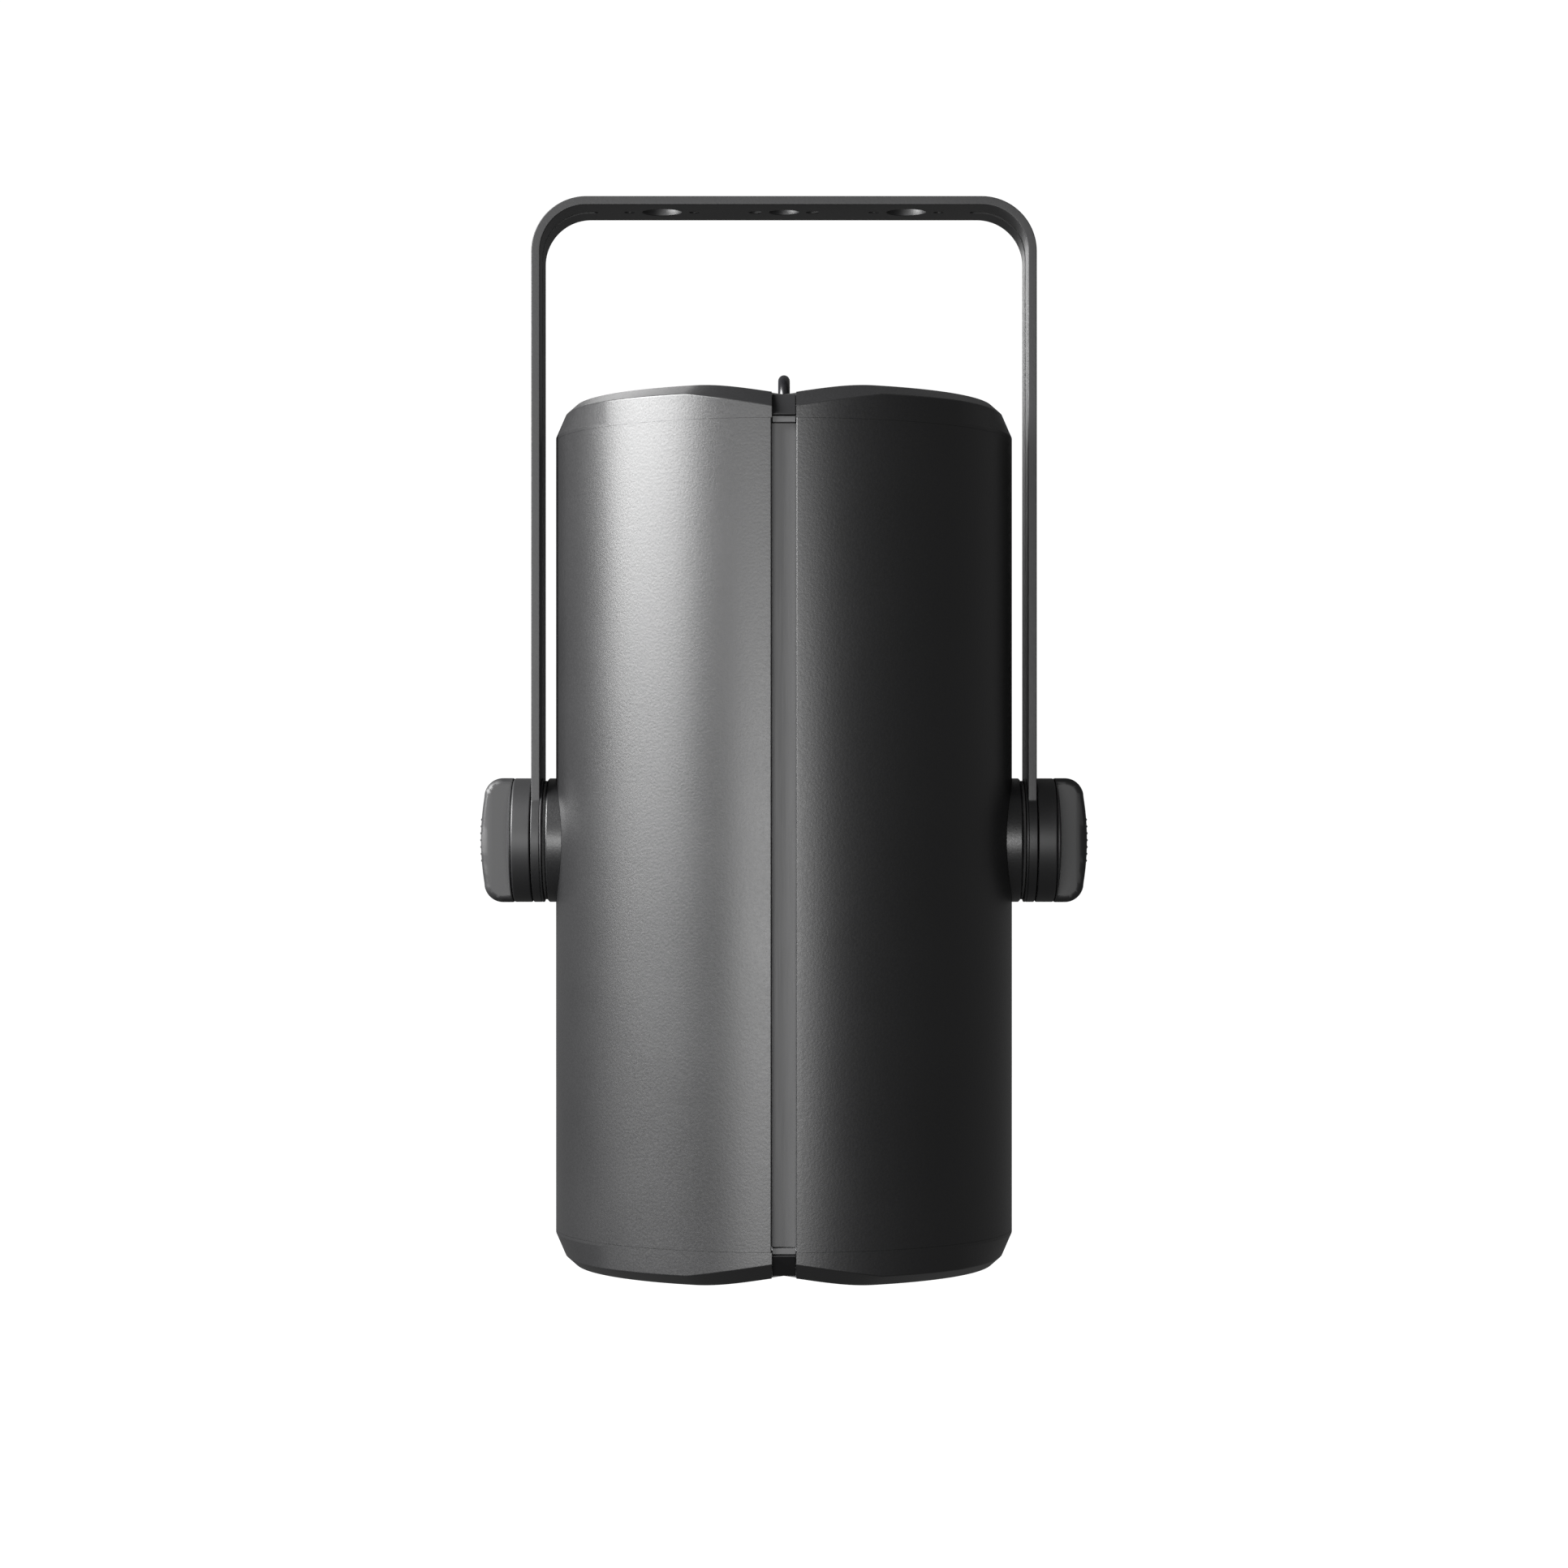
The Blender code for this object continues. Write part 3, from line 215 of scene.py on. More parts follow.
print("coated finishes:", len(bpy.data.materials))

# %% [markdown]
# ## Metals
# Brushed or rolled metal spreads its reflections across the brush lines. The lines are noise drawn
# out along one axis, and they move the roughness and the bump together. Cast metal gets the same
# function with no stretch, which gives it a skin of fine pits.

# %% Metal finishes
def metal(name, colour, roughness, grain, depth, stretch=(1.0, 1.0, 1.0), spread=0.16):
    mat, wire, inputs = new_finish(name, metallic=1.0)
    lines = noise(wire, grain, 4.0, stretch)
    patches = noise(wire, METAL_PATCH)
    wire.feed(between(wire, patches, tinted(colour, 0.86), colour), inputs["Base Color"])
    wire.feed(roughness + (lines - 0.5) * spread + (patches - 0.5) * 0.06, inputs["Roughness"])
    wire.feed(relief(wire, lines, depth), inputs["Normal"])
    return mat


ZINC = metal("zinc_plated_steel", (0.60, 0.61, 0.62), 0.34, 0.8 * MM, 0.012 * MM)
ALUMINIUM = metal("aluminium_as_cast", (0.66, 0.66, 0.67), 0.46, 0.7 * MM, 0.03 * MM)
MILLED = metal("milled_aluminium", (0.74, 0.74, 0.75), 0.33, 0.5 * MM, 0.01 * MM,
               (1.0, 0.03, 1.0))
BRASS = metal("turned_brass", (0.78, 0.58, 0.26), 0.30, 0.5 * MM, 0.01 * MM)
MIRROR = metal("polished_bowl", (0.90, 0.90, 0.91), 0.10, 4.0 * MM, 0.02 * MM, spread=0.05)

# %% [markdown]
# ## The strip, the light source and the glass
# The strip in the slot is a satin band with lines drawn along its length. The light source is a
# yellow phosphor on a white board. The glass needs its transmission and index of refraction as even
# values; only a trace of unevenness goes to its roughness, because real glass is never quite clean.

# %% Other finishes
def satin_band(name, colour, roughness):
    mat, wire, inputs = new_finish(name, specular_ior_level=0.6)
    lines = noise(wire, 0.5 * MM, 3.0, (1.0, 1.0, 0.02))
    wire.feed(between(wire, lines, tinted(colour, 0.85), tinted(colour, 1.15)),
              inputs["Base Color"])
    wire.feed(roughness + (lines - 0.5) * 0.10, inputs["Roughness"])
    wire.feed(relief(wire, lines, 0.01 * MM), inputs["Normal"])
    return mat


def glass(name):
    mat, wire, inputs = new_finish(name, transmission_weight=1.0, ior=1.5)
    smudge = noise(wire, 25 * MM, 3.0)
    wire.feed(between(wire, smudge, (0.97, 0.985, 0.98), (0.99, 1.0, 0.995)),
              inputs["Base Color"])
    wire.feed(0.01 + smudge * 0.03, inputs["Roughness"])
    return mat


BAND = satin_band("satin_strip", (0.020, 0.020, 0.021), 0.52)
BOARD = coated("board_lacquer", (0.72, 0.73, 0.72), 0.45, 0.8 * MM, 0.02 * MM)
PHOSPHOR = coated("yellow_phosphor", (0.78, 0.60, 0.10), 0.55, 0.4 * MM, 0.03 * MM)
GLASS = glass("toughened_glass")
print("finishes:", sorted(mat.name for mat in bpy.data.materials))

# %% [markdown]
# ## From a drawing to a solid
# Most pieces are one of two things. A plate, a section or a bar is an outline with a thickness, and
# Blender's 2D curves fill, extrude and round such an outline, holes included. A disc, a ring or a rod
# is a profile turned round an axis. Corners get their rounding in the outline itself, which keeps the
# mesh free of the thin faces that a Bevel modifier leaves after a cut.

# %% Outlines
def arc(centre, radius, start, end, count):
    """Points along an arc, both ends included."""
    angles = [start + (end - start) * step / count for step in range(count + 1)]
    return [(centre[0] + radius * cos(a), centre[1] + radius * sin(a)) for a in angles]


STRAIGHT_ON = radians(89.98)     # half of the angle at a corner that doesn't turn


def soften(corners, sizes, count=4, closed=True):
    """Round the corners of an outline, apart from sizes of 0 and corners that don't turn."""
    corners = [Vector(corner) for corner in corners]
    points = []
    for index, (corner, size) in enumerate(zip(corners, sizes)):
        end = index in (0, len(corners) - 1) and not closed
        if not size or end:
            points.append(tuple(corner))
            continue
        back = (corners[index - 1] - corner).normalized()
        ahead = (corners[(index + 1) % len(corners)] - corner).normalized()
        half = back.angle(ahead) / 2
        if half > STRAIGHT_ON:
            points += [tuple(corner)] * (count + 1)
            continue
        centre = corner + (back + ahead).normalized() * size / sin(half)
        start = corner + back * size / tan(half) - centre
        finish = corner + ahead * size / tan(half) - centre
        turns = [start.slerp(finish, step / count).normalized() for step in range(count + 1)]
        points += [tuple(centre + turn * size) for turn in turns]
    return points


def box_outline(low_x, high_x, low_y, high_y, size, count=4):
    corners = [(low_x, low_y), (high_x, low_y), (high_x, high_y), (low_x, high_y)]
    return soften(corners, [size] * 4, count)


# %% Meshes
def mesh_object(name, bm):
    mesh = bpy.data.meshes.new(name)
    bm.to_mesh(mesh)
    bm.free()
    obj = bpy.data.objects.new(name, mesh)
    bpy.context.scene.collection.objects.link(obj)
    return obj


MERGE = 0.002 * MM


def settle(obj):
    """Bake modifiers and place into a plain closed mesh whose faces point outwards."""
    bpy.context.view_layer.update()
    graph = bpy.context.evaluated_depsgraph_get()
    baked = bpy.data.meshes.new_from_object(obj.evaluated_get(graph))
    baked.transform(obj.matrix_world)
    bm = bmesh.new()
    bm.from_mesh(baked)
    bmesh.ops.remove_doubles(bm, verts=bm.verts, dist=MERGE)
    bmesh.ops.recalc_face_normals(bm, faces=bm.faces)
    if bm.calc_volume(signed=True) < 0.0:
        bmesh.ops.reverse_faces(bm, faces=bm.faces)
    name = obj.name
    bpy.data.objects.remove(obj, do_unlink=True)
    return mesh_object(name, bm)


def cut(obj, *tools, operation="DIFFERENCE"):
    """Cut tools from a piece, or join them to it, and throw the tools away."""
    for tool in tools:
        step = obj.modifiers.new(tool.name, "BOOLEAN")
        step.operation = operation
        step.object = tool
    result = settle(obj)
    for tool in tools:
        bpy.data.objects.remove(tool, do_unlink=True)
    return result


# %% Plates and turned pieces
UPRIGHT = Matrix.Identity(4)
ALONG_Y = Matrix.Rotation(pi / 2, 4, "X")
ALONG_X = Matrix.Rotation(pi / 2, 4, "Z") @ Matrix.Rotation(pi / 2, 4, "X")


def plate(name, outlines, low, high, rounding=0.0, turn=UPRIGHT):
    """Extrude outlines from low to high; the first is the outside, the others are holes."""
    curve = bpy.data.curves.new(name, "CURVE")
    curve.dimensions = "2D"
    curve.fill_mode = "BOTH"
    curve.extrude = (high - low) / 2 - rounding
    curve.bevel_depth = rounding
    curve.bevel_resolution = 2
    curve.offset = -rounding
    for points in outlines:
        spline = curve.splines.new("POLY")
        spline.points.add(len(points) - 1)
        for point, (x, y) in zip(spline.points, points):
            point.co = (x, y, 0.0, 1.0)
        spline.use_cyclic_u = True
    obj = bpy.data.objects.new(name, curve)
    bpy.context.scene.collection.objects.link(obj)
    obj.matrix_world = turn @ Matrix.Translation((0.0, 0.0, (low + high) / 2))
    return settle(obj)


def turned(name, profile, steps=96, turn=UPRIGHT, closed=True):
    """Turn (radius, height) points round the Z axis, then place the result."""
    bm = bmesh.new()
    points = [bm.verts.new((radius, 0.0, height)) for radius, height in profile]
    for first, second in zip(points, points[1:]):
        bm.edges.new((first, second))
    if closed:
        bm.edges.new((points[-1], points[0]))
    obj = mesh_object(name, bm)
    screw = obj.modifiers.new("turn", "SCREW")
    screw.steps = screw.render_steps = steps
    screw.use_merge_vertices = True
    screw.merge_threshold = 0.001 * MM
    obj.matrix_world = turn
    return settle(obj)


def ring(name, inner, outer, low, high, rounding, steps=96, turn=UPRIGHT):
    profile = soften([(outer, high), (outer, low), (inner, low), (inner, high)], [rounding] * 4)
    return turned(name, profile, steps, turn)


def rod(name, radius, low, high, turn=UPRIGHT, steps=48):
    return turned(name, [(0.0, high), (radius, high), (radius, low), (0.0, low)], steps, turn,
                  closed=False)


def outwards(side):
    """Lays a piece's Z axis along the tilt axis, pointing away from the head."""
    axis = Matrix.Rotation(SIDES[side] * pi / 2, 4, "Y")
    return Matrix.Translation((0.0, 0.0, TILT_Z)) @ axis


HEAD = Matrix.Translation((0.0, 0.0, HEAD_Z))

# %% [markdown]
# ## Giving a piece to the frame
# A finished piece needs a finish, smooth shading that stops at its real edges, the body that it moves
# with, and the frame's nodes that it stands for. Weighted normals keep large flat faces flat beside
# their small roundings.

# %% Fitting a piece
triangles = {}


def fit(obj, finish, body, slot, *nodes, angle=40.0):
    obj.data.materials.clear()
    obj.data.materials.append(finish)
    obj.data.shade_smooth()
    obj.data.set_sharp_from_angle(angle=radians(angle))
    even = obj.modifiers.new("even shading", "WEIGHTED_NORMAL")
    even.keep_sharp = True
    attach(obj, body)
    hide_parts(*nodes)
    triangles[obj.name] = sum(len(face.vertices) - 2 for face in obj.data.polygons)
    print(f"{obj.name}: {triangles[obj.name]} triangles")


# %% [markdown]
# ## The yoke
# A yoke starts as a flat blank, cut from steel strap with all its holes, and is then bent in a press.
# It could be extruded along its bent shape, but the round lugs and the holes would need cuts
# afterwards. Making the flat blank first and moving each of its points round the bends is simpler, and
# its edges keep the same small rounding everywhere. The shallow groove along the inside is cut while
# the blank is flat, as in the workshop.

# %% Yoke sizes
STRAP_THICK = 4.0 * MM
STRAP_HALF = 22.0 * MM
STRAP_ROUNDING = 0.4 * MM
BEND_RADIUS = 25.5 * MM
BEND_STEPS = 22
BEND_X = ARM_OUTSIDE - BEND_RADIUS
BEND_LENGTH = BEND_RADIUS * pi / 2
PIVOT_AT = BEND_X + BEND_LENGTH - TILT_Z - BEND_RADIUS
SIDE_HOLE_X = BEND_X - 34.3 * MM
BOLT_HOLE = 7.0 * MM
BOLT_PILOT = 3.1 * MM
BOLT_PILOT_X = 13.4 * MM
SIDE_HOLE = 9.2 * MM
SIDE_PILOT = 2.3 * MM
SIDE_PILOT_GAP = 15.2 * MM
STUD_HOLE = 5.3 * MM
GROOVE_DEPTH = 1.0 * MM
GROOVE_HALF = 2.25 * MM
GROOVE_LEAD = 4.5 * MM
GROOVE_STOP = 42.0 * MM
print("flat blank length in mm:", round(2 * (PIVOT_AT + PIVOT_RADIUS) / MM, 1))


# %% Yoke blank
def blank_outlines():
    meet = asin(STRAP_HALF / PIVOT_RADIUS)
    lug = arc((PIVOT_AT, 0.0), PIVOT_RADIUS, meet - pi, pi - meet, 72)
    holes = [(0.0, BOLT_HOLE), (BOLT_PILOT_X, BOLT_PILOT), (SIDE_HOLE_X, SIDE_HOLE),
             (SIDE_HOLE_X - SIDE_PILOT_GAP, SIDE_PILOT),
             (SIDE_HOLE_X + SIDE_PILOT_GAP, SIDE_PILOT), (PIVOT_AT, STUD_HOLE)]
    places = [(sign * x, size) for x, size in holes for sign in ((1, -1) if x else (1,))]
    circles = [arc((x, 0.0), size, 0.0, 2 * pi, 48)[:-1] for x, size in places]
    return [lug + [(-x, -y) for x, y in lug], *circles]


def groove_tool(sign):
    """A bar with almost round ends that stands in the groove."""
    start, stop = BEND_X - GROOVE_LEAD, PIVOT_AT - GROOVE_STOP
    outline = box_outline(start, stop, -GROOVE_HALF, GROOVE_HALF, 0.95 * GROOVE_HALF)
    return plate(f"groove_{sign}", [[(sign * x, y) for x, y in outline]],
                 -STRAP_THICK - MM, GROOVE_DEPTH - STRAP_THICK)


# %% Bend the blank
def bent(point):
    """Where a point of the flat blank lands once the strap is bent."""
    sign = -1 if point.x < 0 else 1
    along, depth = abs(point.x), -point.z
    inside = BEND_RADIUS - depth
    if along <= BEND_X:
        x, z = along, -depth
    elif along <= BEND_X + BEND_LENGTH:
        turn = (along - BEND_X) / BEND_RADIUS
        x, z = BEND_X + inside * sin(turn), inside * cos(turn) - BEND_RADIUS
    else:
        x, z = BEND_X + inside, BEND_X + BEND_LENGTH - along - BEND_RADIUS
    return Vector((sign * x, point.y, z))


def bend(blank):
    bm = bmesh.new()
    bm.from_mesh(blank.data)
    bmesh.ops.dissolve_limit(bm, angle_limit=radians(0.1), verts=bm.verts, edges=bm.edges)
    stops = [BEND_X + BEND_LENGTH * step / BEND_STEPS for step in range(BEND_STEPS + 1)]
    for x in [*stops, *(-stop for stop in stops)]:
        bmesh.ops.bisect_plane(bm, geom=[*bm.verts, *bm.edges, *bm.faces],
                               plane_co=(x, 0.0, 0.0), plane_no=(1.0, 0.0, 0.0))
    for vert in bm.verts:
        vert.co = bent(vert.co)
    bm.to_mesh(blank.data)
    bm.free()
    return blank


blank = plate("yoke_strap", blank_outlines(), -STRAP_THICK, 0.0, STRAP_ROUNDING)
yoke = bend(cut(blank, groove_tool(-1), groove_tool(1)))
fit(yoke, STRAP, "yoke", "black_strap_coat", "yoke")

# %% [markdown]
# ## The half shells
# Each half of the head is a long aluminium section, cut to length. Its drawing is the cross-section:
# an outer arc, an inner arc, and rounded corners where the slots in front and behind begin. The
# section is extruded, and a hole is bored for the pivot boss.

# %% Shells
WALL = 4.5 * MM
SLOT_ROUNDING = 0.6 * MM
SEAM_GAP = 0.03 * MM
END_ROUNDING = 0.05 * MM
SPIGOT = 12.0 * MM
INNER_RADIUS = BODY_RADIUS - WALL


ARC_POINTS = 110


def shell_section(sign):
    """Angles run from the front slot round the side to the rear slot."""
    start, start_in = asin(SLOT_HALF / BODY_RADIUS), asin(SLOT_HALF / INNER_RADIUS)
    outer = arc((0.0, 0.0), BODY_RADIUS, start - pi / 2, pi / 2 - start, ARC_POINTS)
    inner = arc((0.0, 0.0), INNER_RADIUS, pi / 2 - start_in, start_in - pi / 2, ARC_POINTS)
    rest = [0.0] * (ARC_POINTS - 1)
    sizes = [SLOT_ROUNDING, *rest, SLOT_ROUNDING, 0.3 * MM, *rest, 0.3 * MM]
    points = soften(outer + inner, sizes)
    return [(sign * x, y) for x, y in points]


for side, sign in SIDES.items():
    half = SEAM - SEAM_GAP
    shell = plate(f"half_shell_{side}", [shell_section(sign)], -half, half, END_ROUNDING, HEAD)
    bore = rod("bore", SPIGOT + CLEAR, INNER_RADIUS - 10 * MM, BODY_RADIUS + MM, outwards(side))
    fit(cut(shell, bore), POWDER, "head", "black_powder_coat", f"shell_{side}", angle=30.0)

# %% [markdown]
# ## The end castings
# The castings that close the head's two ends share one outside: a straight wall that tapers at the
# sides of the head only, a chamfer and a flat rim. At the slots the chamfer grows deeper and the rim
# dips, so the sizes change with the angle and no turned profile can give the shape. It is a loft
# instead: one rounded profile is drawn again and again round the head, each time with the sizes of
# that angle, and neighbours are joined.

# %% Casting profile
STEPS = 270
STRAIGHT = 1.4 * MM
RIM_OUTER = BODY_RADIUS - 9.6 * MM
RIM_INNER = RIM_OUTER - 9.0 * MM
TAPER = 4.5 * MM
TAPER_STARTS = 0.75              # sine of the angle from a slot where the taper starts
TAPER_FULL = 1.0                 # the same where it is full
CHAMFER = BODY_HALF - 4.9 * MM
NOTCH_FOOT = 4.5 * MM
NOTCH_DIP = 4.6 * MM
NOTCH_ANGLE = radians(24.0)
FLOOR_Z = BODY_HALF - 8.0 * MM
FLOOR = 4.0 * MM
LIGHT_RADIUS = RIM_INNER - 6.0 * MM
LEDGE = LIGHT_RADIUS + 5.6 * MM
SHELF = SEAM + 3.9 * MM
LIP = 2.5 * MM
NOTCH_BACK = RIM_INNER + 4.5 * MM
NOTCH_STEP = SEAM + 3.3 * MM
strip_low, strip_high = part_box("front_strip")
STRIP_BACK = -strip_high.y
CHANNEL = STRIP_BACK - 2 * CLEAR
FACES = {"front": -1, "rear": 1}


def dip(angle):
    """1 at the slots in front and behind, 0 where the rim is plain."""
    return max(0.0, 1.0 - abs(sin(angle)) / sin(NOTCH_ANGLE))


def eased(share):
    """The rim starts to dip gently and the chamfer's edge does not."""
    return share * share * (1.9 - 0.9 * share)


def outside(angle):
    """The outer wall from the seam to the rim's inner edge, and the rounding of each corner."""
    edge = CHAMFER - (CHAMFER - SEAM - NOTCH_FOOT) * dip(angle)
    share = (edge - SEAM - STRAIGHT) / (CHAMFER - SEAM - STRAIGHT)
    aside = (abs(sin(angle)) - TAPER_STARTS) / (TAPER_FULL - TAPER_STARTS)
    share *= min(max(aside, 0.0), 1.0)
    rim = BODY_HALF - NOTCH_DIP * eased(dip(angle))
    points = [(BODY_RADIUS, SEAM + SEAM_GAP), (BODY_RADIUS, SEAM + STRAIGHT),
              (BODY_RADIUS - TAPER * share, edge), (RIM_OUTER, rim), (RIM_INNER, rim)]
    return points, [0.0, 1.2 * MM, 0.9 * MM, 2.2 * MM, 0.8 * MM]


# %% Loft
def loft(name, profile, up, closed):
    bm = bmesh.new()
    columns = []
    for step in range(STEPS):
        angle = 2 * pi * step / STEPS
        corners, sizes = profile(angle)
        column = [bm.verts.new((r * sin(angle), -r * cos(angle), up * z))
                  for r, z in soften(corners, sizes, closed=closed)]
        columns.append(column)
    for left, right in zip(columns, columns[1:] + columns[:1]):
        pairs = list(zip(left, right))
        links = list(zip(pairs, pairs[1:] + pairs[:1] if closed else pairs[1:]))
        for (a, b), (c, d) in links:
            bm.faces.new((a, b, d, c))
    obj = mesh_object(name, bm)
    obj.matrix_world = HEAD
    return settle(obj)


def notch_tools(up):
    """Boxes that carry the slots on through a casting: behind the strip's tab, then deeper."""
    tools = []
    for face, sign in FACES.items():
        for name, back, foot in (("low", CHANNEL, SEAM - MM), ("deep", NOTCH_BACK, NOTCH_STEP)):
            low, high = sorted((up * foot, up * (BODY_HALF + MM)))
            near, far = sorted((sign * back, sign * (BODY_RADIUS + MM)))
            corners = box_outline(-SLOT_HALF, SLOT_HALF, near, far, 0.0)
            tools.append(plate(f"notch_{face}_{name}", [corners], low, high, 0.0, HEAD))
    return tools


def round_slot_edges(obj):
    """Give a casting's slot edges the rounding that the shells have."""
    bm = bmesh.new()
    bm.from_mesh(obj.data)
    edges = []
    for edge in bm.edges:
        on_edge = all(abs(abs(vert.co.x) - SLOT_HALF) < 0.01 * MM
                      and abs(vert.co.y) > NOTCH_BACK + 0.5 * MM for vert in edge.verts)
        off_seam = any(abs(abs(vert.co.z - HEAD_Z) - SEAM) > 2 * SEAM_GAP for vert in edge.verts)
        if on_edge and off_seam and edge.is_convex:
            edges.append(edge)
    bmesh.ops.bevel(bm, geom=edges, offset=SLOT_ROUNDING, segments=3, profile=0.5,
                    affect="EDGES", clamp_overlap=True)
    bm.to_mesh(obj.data)
    bm.free()
    return obj


# %% Top casting
def cap_profile(angle):
    points, sizes = outside(angle)
    under = RIM_INNER - 2.0 * MM
    inner = [(0.0, FLOOR_Z - FLOOR), (under, FLOOR_Z - FLOOR), (under, SEAM + CLEAR)]
    floor = [(RIM_INNER, FLOOR_Z), (0.0, FLOOR_Z)]
    return [*inner, *points, *floor], [0.0, 1.0 * MM, 0.3 * MM, *sizes, 2.0 * MM, 0.0]


INLET_FLANGE = 15.0 * MM
INLET_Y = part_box("power_inlet")[0].y + INLET_FLANGE
VENT_Y = (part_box("pressure_vent")[0].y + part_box("pressure_vent")[1].y) / 2
INLET_BARREL = 10.5 * MM
VENT_SHANK = 5.5 * MM


def at(x, y):
    return HEAD @ Matrix.Translation((x, y, 0.0))


low, high = FLOOR_Z - 2 * FLOOR, FLOOR_Z + FLOOR
openings = [rod("inlet_hole", INLET_BARREL + CLEAR, low, high, at(0.0, INLET_Y)),
            rod("vent_hole", VENT_SHANK + CLEAR, low, high, at(0.0, VENT_Y))]
cap = cut(loft("end_casting_top", cap_profile, 1, False), *notch_tools(1), *openings)
fit(round_slot_edges(cap), POWDER, "head", "black_powder_coat", "top_cap", angle=30.0)


# %% Bottom casting
def bezel_profile(angle):
    points, sizes = outside(angle)
    mouth = [(LIGHT_RADIUS, SHELF + LIP), (LIGHT_RADIUS, SHELF), (LEDGE, SHELF),
             (LEDGE, SEAM + CLEAR)]
    return [*points, *mouth], [*sizes, 0.6 * MM, 0.3 * MM, 0.3 * MM, 0.3 * MM]


BEZEL_CIRCLE = RIM_OUTER - 4.0 * MM
SCREW_HEAD = 3.6 * MM
SCREW_RISE = 4.0 * MM


def round_places(circle):
    return [(circle * cos(radians(a)), circle * sin(radians(a))) for a in (45, 135, 225, 315)]


sinks = [rod(f"sink_{number}", SCREW_HEAD + CLEAR, -BODY_HALF - MM,
             SCREW_RISE + 2 * CLEAR - BODY_HALF, at(x, y))
         for number, (x, y) in enumerate(round_places(BEZEL_CIRCLE))]
bezel = cut(loft("end_casting_bottom", bezel_profile, -1, True), *notch_tools(-1), *sinks)
fit(round_slot_edges(bezel), POWDER, "head", "black_powder_coat", "bottom_bezel", angle=30.0)

# %% [markdown]
# ## The slot trim
# A flat strip closes each slot from inside the shells, with a tab bent out at both ends, and a dark
# plug fills the notch beyond each tab. The strip's side view is one outline: a long bar with a step
# at either end. The plug's side view slopes back to the rim and hooks over the casting behind it.

# %% Strips
TAB_END = strip_high.z - HEAD_Z
TAB_FACE = -strip_low.y
STRIP_FACE = STRIP_BACK + 3.0 * MM
TAB_FOOT = TAB_END - 2.9 * MM
TRIM_HALF = SLOT_HALF - CLEAR
BELOW_FACE = 0.02 * MM


def side_view(sign):
    corners = [(STRIP_BACK, -TAB_END), (TAB_FACE, -TAB_END), (TAB_FACE, -TAB_FOOT),
               (STRIP_FACE, -TAB_FOOT), (STRIP_FACE, TAB_FOOT), (TAB_FACE, TAB_FOOT),
               (TAB_FACE, TAB_END), (STRIP_BACK, TAB_END)]
    return [(sign * y, z) for y, z in soften(corners, [0.3 * MM] * 8)]


for face, sign in FACES.items():
    strip = plate(f"slot_strip_{face}", [side_view(sign)], -TRIM_HALF, TRIM_HALF, 0.2 * MM,
                  HEAD @ ALONG_X)
    near, far = sorted((sign * STRIP_BACK, sign * (STRIP_FACE - BELOW_FACE)))
    wide = plate("wide", [box_outline(strip_low.x, strip_high.x, near, far, 0.2 * MM)],
                 -TAB_FOOT, TAB_FOOT, 0.2 * MM, HEAD)
    fit(cut(strip, wide, operation="UNION"), BAND, "head", "dark_strip", f"{face}_strip")


# %% Plugs
def plug_view(sign, up):
    front, foot = outside(0.0)[0][2][0] - MM, TAB_END + CLEAR
    back, hook = NOTCH_BACK + CLEAR, NOTCH_STEP + CLEAR
    top = BODY_HALF - NOTCH_DIP - CLEAR
    corners = [(STRIP_BACK, foot), (front, foot), (front, foot + 0.5 * MM),
               (RIM_OUTER - 1.5 * MM, top), (back, top), (back, hook), (STRIP_BACK, hook)]
    sizes = [0.2 * MM, 0.2 * MM, 0.1 * MM, 0.8 * MM, 0.3 * MM, 0.2 * MM, 0.2 * MM]
    return [(sign * y, up * z) for y, z in soften(corners, sizes)]


for face, sign in FACES.items():
    for end, up in (("upper", 1), ("lower", -1)):
        plug = plate(f"slot_plug_{face}_{end}", [plug_view(sign, up)], -TRIM_HALF, TRIM_HALF,
                     0.3 * MM, HEAD @ ALONG_X)
        fit(plug, PLUG, "head", "black_plastic", f"{face}_{end}_plug")

# %% [markdown]
# ## The tilt pivots
# From the head outwards come a boss that is hollowed to sit on the round shell, a friction pad in a
# groove, and a thin washer against the strap. All are turned discs; the boss is then cut with a drum
# that is a hair larger than the head, so that it follows the shell.

# %% Pivots
BOSS_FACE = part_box("pivot_boss_right")[1].x
EDGE = 0.7 * MM
PAD_INSET = 1.2 * MM
DRUM_GAP = 0.1 * MM
WASHER_OVER = 0.25 * MM

